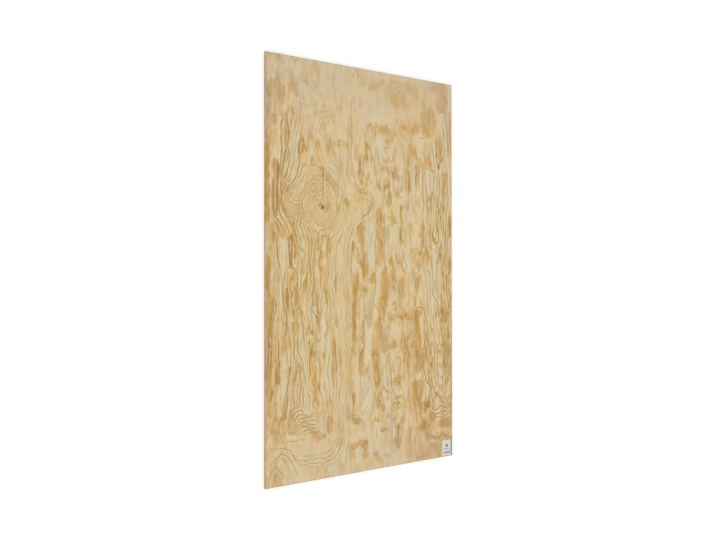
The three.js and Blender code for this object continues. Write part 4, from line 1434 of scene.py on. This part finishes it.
def soiled_mask(paint, spot, parts):
    """How soiled each place of the face is, most at its ends, and how handled it is beside the label."""
    x = (parts[0] - SHEET_LOW.x) / MM
    y = (parts[1] - SHEET_LOW.y) / MM
    cloud = paint.grain(spot, (7, 5, 1), 70, 2.0) * 40
    far_end = (y + cloud).ramp(2040, 2400)
    near_end = (y + cloud * 0.5).ramp(230, 60) * (x + cloud).ramp(0, 1050, 0.25, 0.75)
    sides = x.ramp(120, 30).most(x.ramp(1060, 1190)) * (y + cloud).ramp(1850, 2150)
    past_label = (parts[0] - LABEL_HIGH.x) / MM
    above_label = (parts[1] - LABEL_HIGH.y) / MM
    handled = past_label.ramp(-4, 1) * above_label.ramp(44, 19)
    return far_end.most(near_end).most(sides * 0.9), handled


def face_veneer():
    """Cream and tan wood with its ring lines, and fine lengthwise fibre."""
    paint = Paint("face_veneer")
    spot, parts = paint.place()
    tone, hue, _ = paint.stored("wood")
    ring, strength, _ = paint.stored("rings")
    near, weight, edge = paint.stored("lines")
    base, late, fibre, narrow = veneer(paint, spot, tone, hue, ring, strength, 0)
    ragged = narrow * 0.02 + fibre * 0.008
    near = near + ragged
    margin = near.ramp(0.45, 0.72) - near.ramp(0.75, 0.86)
    base = paint.mix(base, PALE_MARGIN, margin * weight.ramp(0.42, 0.75, 0, 0.7))
    base = paint.tint(base, LINE_TINT, near.ramp(0.80, 0.97) * weight.ramp(0.1, 0.85))
    base = paint.tint(base, LINE_TINT, (edge + ragged).ramp(0.76, 0.97, 0, 0.62))
    soiled, handled = soiled_mask(paint, spot, parts)
    base = paint.mix(base, SOILED, soiled * SOILED_SHARE)
    base = paint.mix(base, HANDLED, handled * HANDLED_SHARE)
    # Painted shade, partly wear: the face darkens and greys within 8 millimetres of every edge.
    base = paint.tint(base, EDGE_WEAR_AND_SHADE_TINT, border(parts, 1.5, 8.0))
    # Painted shade: a further darkening within 14 millimetres of the left edge stands in for the shaded
    # sawn side seen edge-on.
    base = paint.tint(base, EDGE_WEAR_AND_SHADE_TINT, (parts[0] - SHEET_LOW.x).ramp(14 * MM, 3 * MM))
    knot = knot_mask(paint, spot, parts, KNOTS)
    base = paint.mix(base, KNOT_RING, knot.ramp(0.05, 0.4))
    base = paint.mix(base, KNOT_CORE, knot.ramp(0.4, 0.9))
    paint.set(base_color=base, roughness=WOOD_ROUGHNESS - late * 0.08 + fibre * 0.03)
    paint.set(specular_ior_level=WOOD_SPECULAR)
    paint.bump(late * 0.4 + fibre * 0.3 - knot * 0.5, 0.35, 0.0004)
    return paint.material


# The two tall arches of the back: x, y, reach across, reach along and rings
BACK_ARCHES = ((380, 500, 190, 1300, 13), (930, 1900, 165, 1100, 10))


def back_veneer():
    """The same pine, plainer, with two tall arches."""
    paint = Paint("back_veneer")
    spot, parts = paint.place()
    wave_x = paint.grain(spot, (9, 2.4, 1), 60, 2.0)
    wave_y = paint.grain(spot, (16, 3, 1), 61, 2.0)
    x = (parts[0] - SHEET_LOW.x) / MM + wave_x * 7
    y = (parts[1] - SHEET_LOW.y) / MM + wave_y * 24
    ring = paint.grain(spot, (14, 1.4, 1), 62, 2.0) * 0.4
    for arch_x, arch_y, across, along, rings in BACK_ARCHES:
        u = (x - arch_x) / across
        v = (y - arch_y) / along
        ring = ring + rings / (1 + u * u * 2 + v * v) ** 2
    hue = paint.grain(spot, (12, 4, 1), 63, 2.0) * 0.5
    tone = ring.fraction().ramp(0.1, 0.95, 0.2, 0.62)
    base, late, fibre, _ = veneer(paint, spot, tone, hue, ring, 0.8, 50)
    paint.set(base_color=base, roughness=WOOD_ROUGHNESS - late * 0.08, specular_ior_level=WOOD_SPECULAR)
    paint.bump(late * 0.4 + fibre * 0.3, 0.35, 0.0004)
    return paint.material


SIDE_GRAIN = colour(178, 152, 116)
END_GRAIN = colour(140, 113, 82)
GLUE = colour(112, 78, 52)
EDGE_ROUGHNESS = 0.78
EDGE_SPECULAR = 0.3


def sawn_edge():
    """Seven veneers, by turns along the edge and end on, with thin glue lines between them."""
    paint = Paint("sawn_edge")
    spot, parts = paint.place()
    height = (parts[2] - SHEET_LOW.z) / MM
    crosswise = 0.0
    glue = 0.0
    level = 0.0
    for index, thickness in enumerate(PLIES[:-1]):
        level = level + thickness
        wander = height + paint.grain(spot, (9, 9, 1), 20 + index) * 0.08
        passed = wander.ramp(level - 0.04, level + 0.04)
        crosswise = passed + crosswise if index % 2 == 0 else crosswise - passed
        glue = (1 - abs(wander - level).ramp(0.05, 0.16)).most(glue)
    long_side = abs(parts[0]).ramp(SHEET_HIGH.x - 2 * ARRIS, SHEET_HIGH.x - ARRIS)
    end_on = abs(crosswise - (1 - long_side))
    along = paint.grain(spot, (30, 30, 1400), 31, 2.0, 0.6)
    pores = paint.grain(spot, (900, 900, 900), 32, 2.0, 0.6)
    base = paint.mix(SIDE_GRAIN, TAN, along * 0.3 + 0.2)
    dark = paint.mix(END_GRAIN, TAN, pores * 0.3 + 0.15)
    base = paint.mix(base, dark, end_on)
    base = paint.mix(base, GLUE, glue * 0.75)
    saw = paint.grain(spot, (420, 420, 8), 33)
    paint.set(base_color=base, roughness=EDGE_ROUGHNESS + saw * 0.03, specular_ior_level=EDGE_SPECULAR)
    paint.bump(saw * 0.4 - end_on * 0.6 + pores * 0.3, 0.5, 0.0003)
    return paint.material


PAPER = colour(221, 215, 212)
PAPER_SHADE = colour(206, 198, 193)
PRINT_GREY = colour(110, 112, 120)
PAPER_ROUGHNESS = 0.55

# The plain block and bars on the label, in millimetres from its lower left corner: from x to x, from y to
# y, and how dark each is
LABEL_PRINT = (
    (25, 44, 57, 75, 0.9),
    (9, 52, 41, 48, 0.5),
    (11, 56, 16, 27, 0.8),
    (19, 48, 0.5, 3.5, 0.7),
)


def print_mask(parts, low_x, high_x, low_y, high_y, soft=0.4):
    """One inside a box given in millimetres from the label's lower left corner, and nought outside it."""
    x = (parts[0] - LABEL_LOW.x) / MM
    y = (parts[1] - LABEL_LOW.y) / MM
    inside = x.ramp(low_x - soft, low_x + soft) * x.ramp(high_x + soft, high_x - soft)
    return inside * y.ramp(low_y - soft, low_y + soft) * y.ramp(high_y + soft, high_y - soft)


def label_paper():
    """White paper with a few plain grey bars and a block."""
    paint = Paint("label_paper")
    spot, parts = paint.place()
    pulp = paint.grain(spot, (500, 500, 1), 41, 3.0, 0.6)
    base = paint.mix(PAPER, PAPER_SHADE, pulp * 0.25 + 0.3)
    for low_x, high_x, low_y, high_y, share in LABEL_PRINT:
        base = paint.mix(base, PRINT_GREY, print_mask(parts, low_x, high_x, low_y, high_y) * share)
    paint.set(base_color=base, roughness=PAPER_ROUGHNESS + pulp * 0.03)
    paint.bump(pulp, 0.15, 0.0001)
    return paint.material


# ---------------------------------------------------------------- setting

CAMERA_PLACE = (-0.9853, -0.0123, 2.4224)
CAMERA_TILT = math.radians(21.192)
CAMERA_PITCH = math.radians(0.244)
CAMERA_ROLL = math.radians(-0.060)
CAMERA_LENS = 21.486
SENSOR_WIDTH = 36

WORLD_LEVEL = 0.62
LAMP_LEVEL = 1.25
LAMP_SPREAD = math.radians(70)
LAMP_TURN = (math.radians(24), math.radians(-18), 0)
FLOOR_SIZE = 60
FLOOR_COLOUR = colour(250, 250, 250)
WHITE = (1, 1, 1, 1)
FLOOR_LIFT = 0.1
FLOOR_GAP = 0.2 * MM


def make_camera():
    """Beyond the left edge of the sheet, and looking down across it."""
    look = Vector((
        math.sin(CAMERA_TILT) * math.cos(CAMERA_PITCH),
        math.sin(CAMERA_PITCH),
        -math.cos(CAMERA_TILT) * math.cos(CAMERA_PITCH),
    ))
    right = look.cross(Vector((0, 1, 0))).normalized()
    up = right.cross(look)
    turned_right = right * math.cos(CAMERA_ROLL) + up * math.sin(CAMERA_ROLL)
    turned_up = up * math.cos(CAMERA_ROLL) - right * math.sin(CAMERA_ROLL)
    data = bpy.data.cameras.new("camera")
    data.lens = CAMERA_LENS
    data.sensor_width = SENSOR_WIDTH
    data.clip_start = 0.05
    data.clip_end = 200
    camera = bpy.data.objects.new("camera", data)
    axes = Matrix((turned_right, turned_up, -look)).transposed().to_4x4()
    camera.matrix_world = Matrix.Translation(CAMERA_PLACE) @ axes
    bpy.context.scene.collection.objects.link(camera)
    bpy.context.scene.camera = camera


def seen(nodes):
    """One for rays from the eye, straight or by way of a reflection or glass, and nought for the rest."""
    rays = nodes.node("ShaderNodeLightPath", output=None)
    return (rays["Is Camera Ray"] + rays["Is Glossy Ray"] + rays["Is Transmission Ray"]).least(1.0)


def make_floor():
    """A plain pale floor."""
    mesh = bmesh.new()
    bmesh.ops.create_grid(mesh, x_segments=1, y_segments=1, size=FLOOR_SIZE / 2)
    data = bpy.data.meshes.new("floor")
    mesh.to_mesh(data)
    mesh.free()
    paint = Paint("pale_floor")
    paint.set(base_color=FLOOR_COLOUR, roughness=1.0, specular_ior_level=0.0)
    paint.set(emission_color=WHITE, emission_strength=seen(paint) * FLOOR_LIFT)
    data.materials.append(paint.material)
    floor = bpy.data.objects.new("floor", data)
    floor.location = (0, 0, SHEET_LOW.z - FLOOR_GAP)
    bpy.context.scene.collection.objects.link(floor)


def make_sky():
    """An even white sky, at a plain level for the board and full white to the eye."""
    world = bpy.data.worlds.new("sky")
    world.use_nodes = True
    sky = Nodes(world.node_tree)
    level = sky.node("ShaderNodeMapRange", None, {"Value": seen(sky), "To Min": WORLD_LEVEL, "To Max": 1.0})
    background = world.node_tree.nodes["Background"]
    sky.put(background.inputs["Strength"], level)
    sky.put(background.inputs["Color"], WHITE)
    bpy.context.scene.world = world


def make_lamp():
    """One broad soft lamp."""
    data = bpy.data.lights.new("soft_lamp", "SUN")
    data.energy = LAMP_LEVEL
    data.angle = LAMP_SPREAD
    lamp = bpy.data.objects.new("soft_lamp", data)
    lamp.rotation_euler = LAMP_TURN
    bpy.context.scene.collection.objects.link(lamp)


# ---------------------------------------------------------------- putting it together

make_camera()
make_board((face_veneer(), sawn_edge(), back_veneer()))

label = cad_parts["paper_label"]
label.data.materials.clear()
label.data.materials.append(label_paper())

make_floor()
make_sky()
make_lamp()
bpy.context.scene.view_settings.view_transform = "Standard"
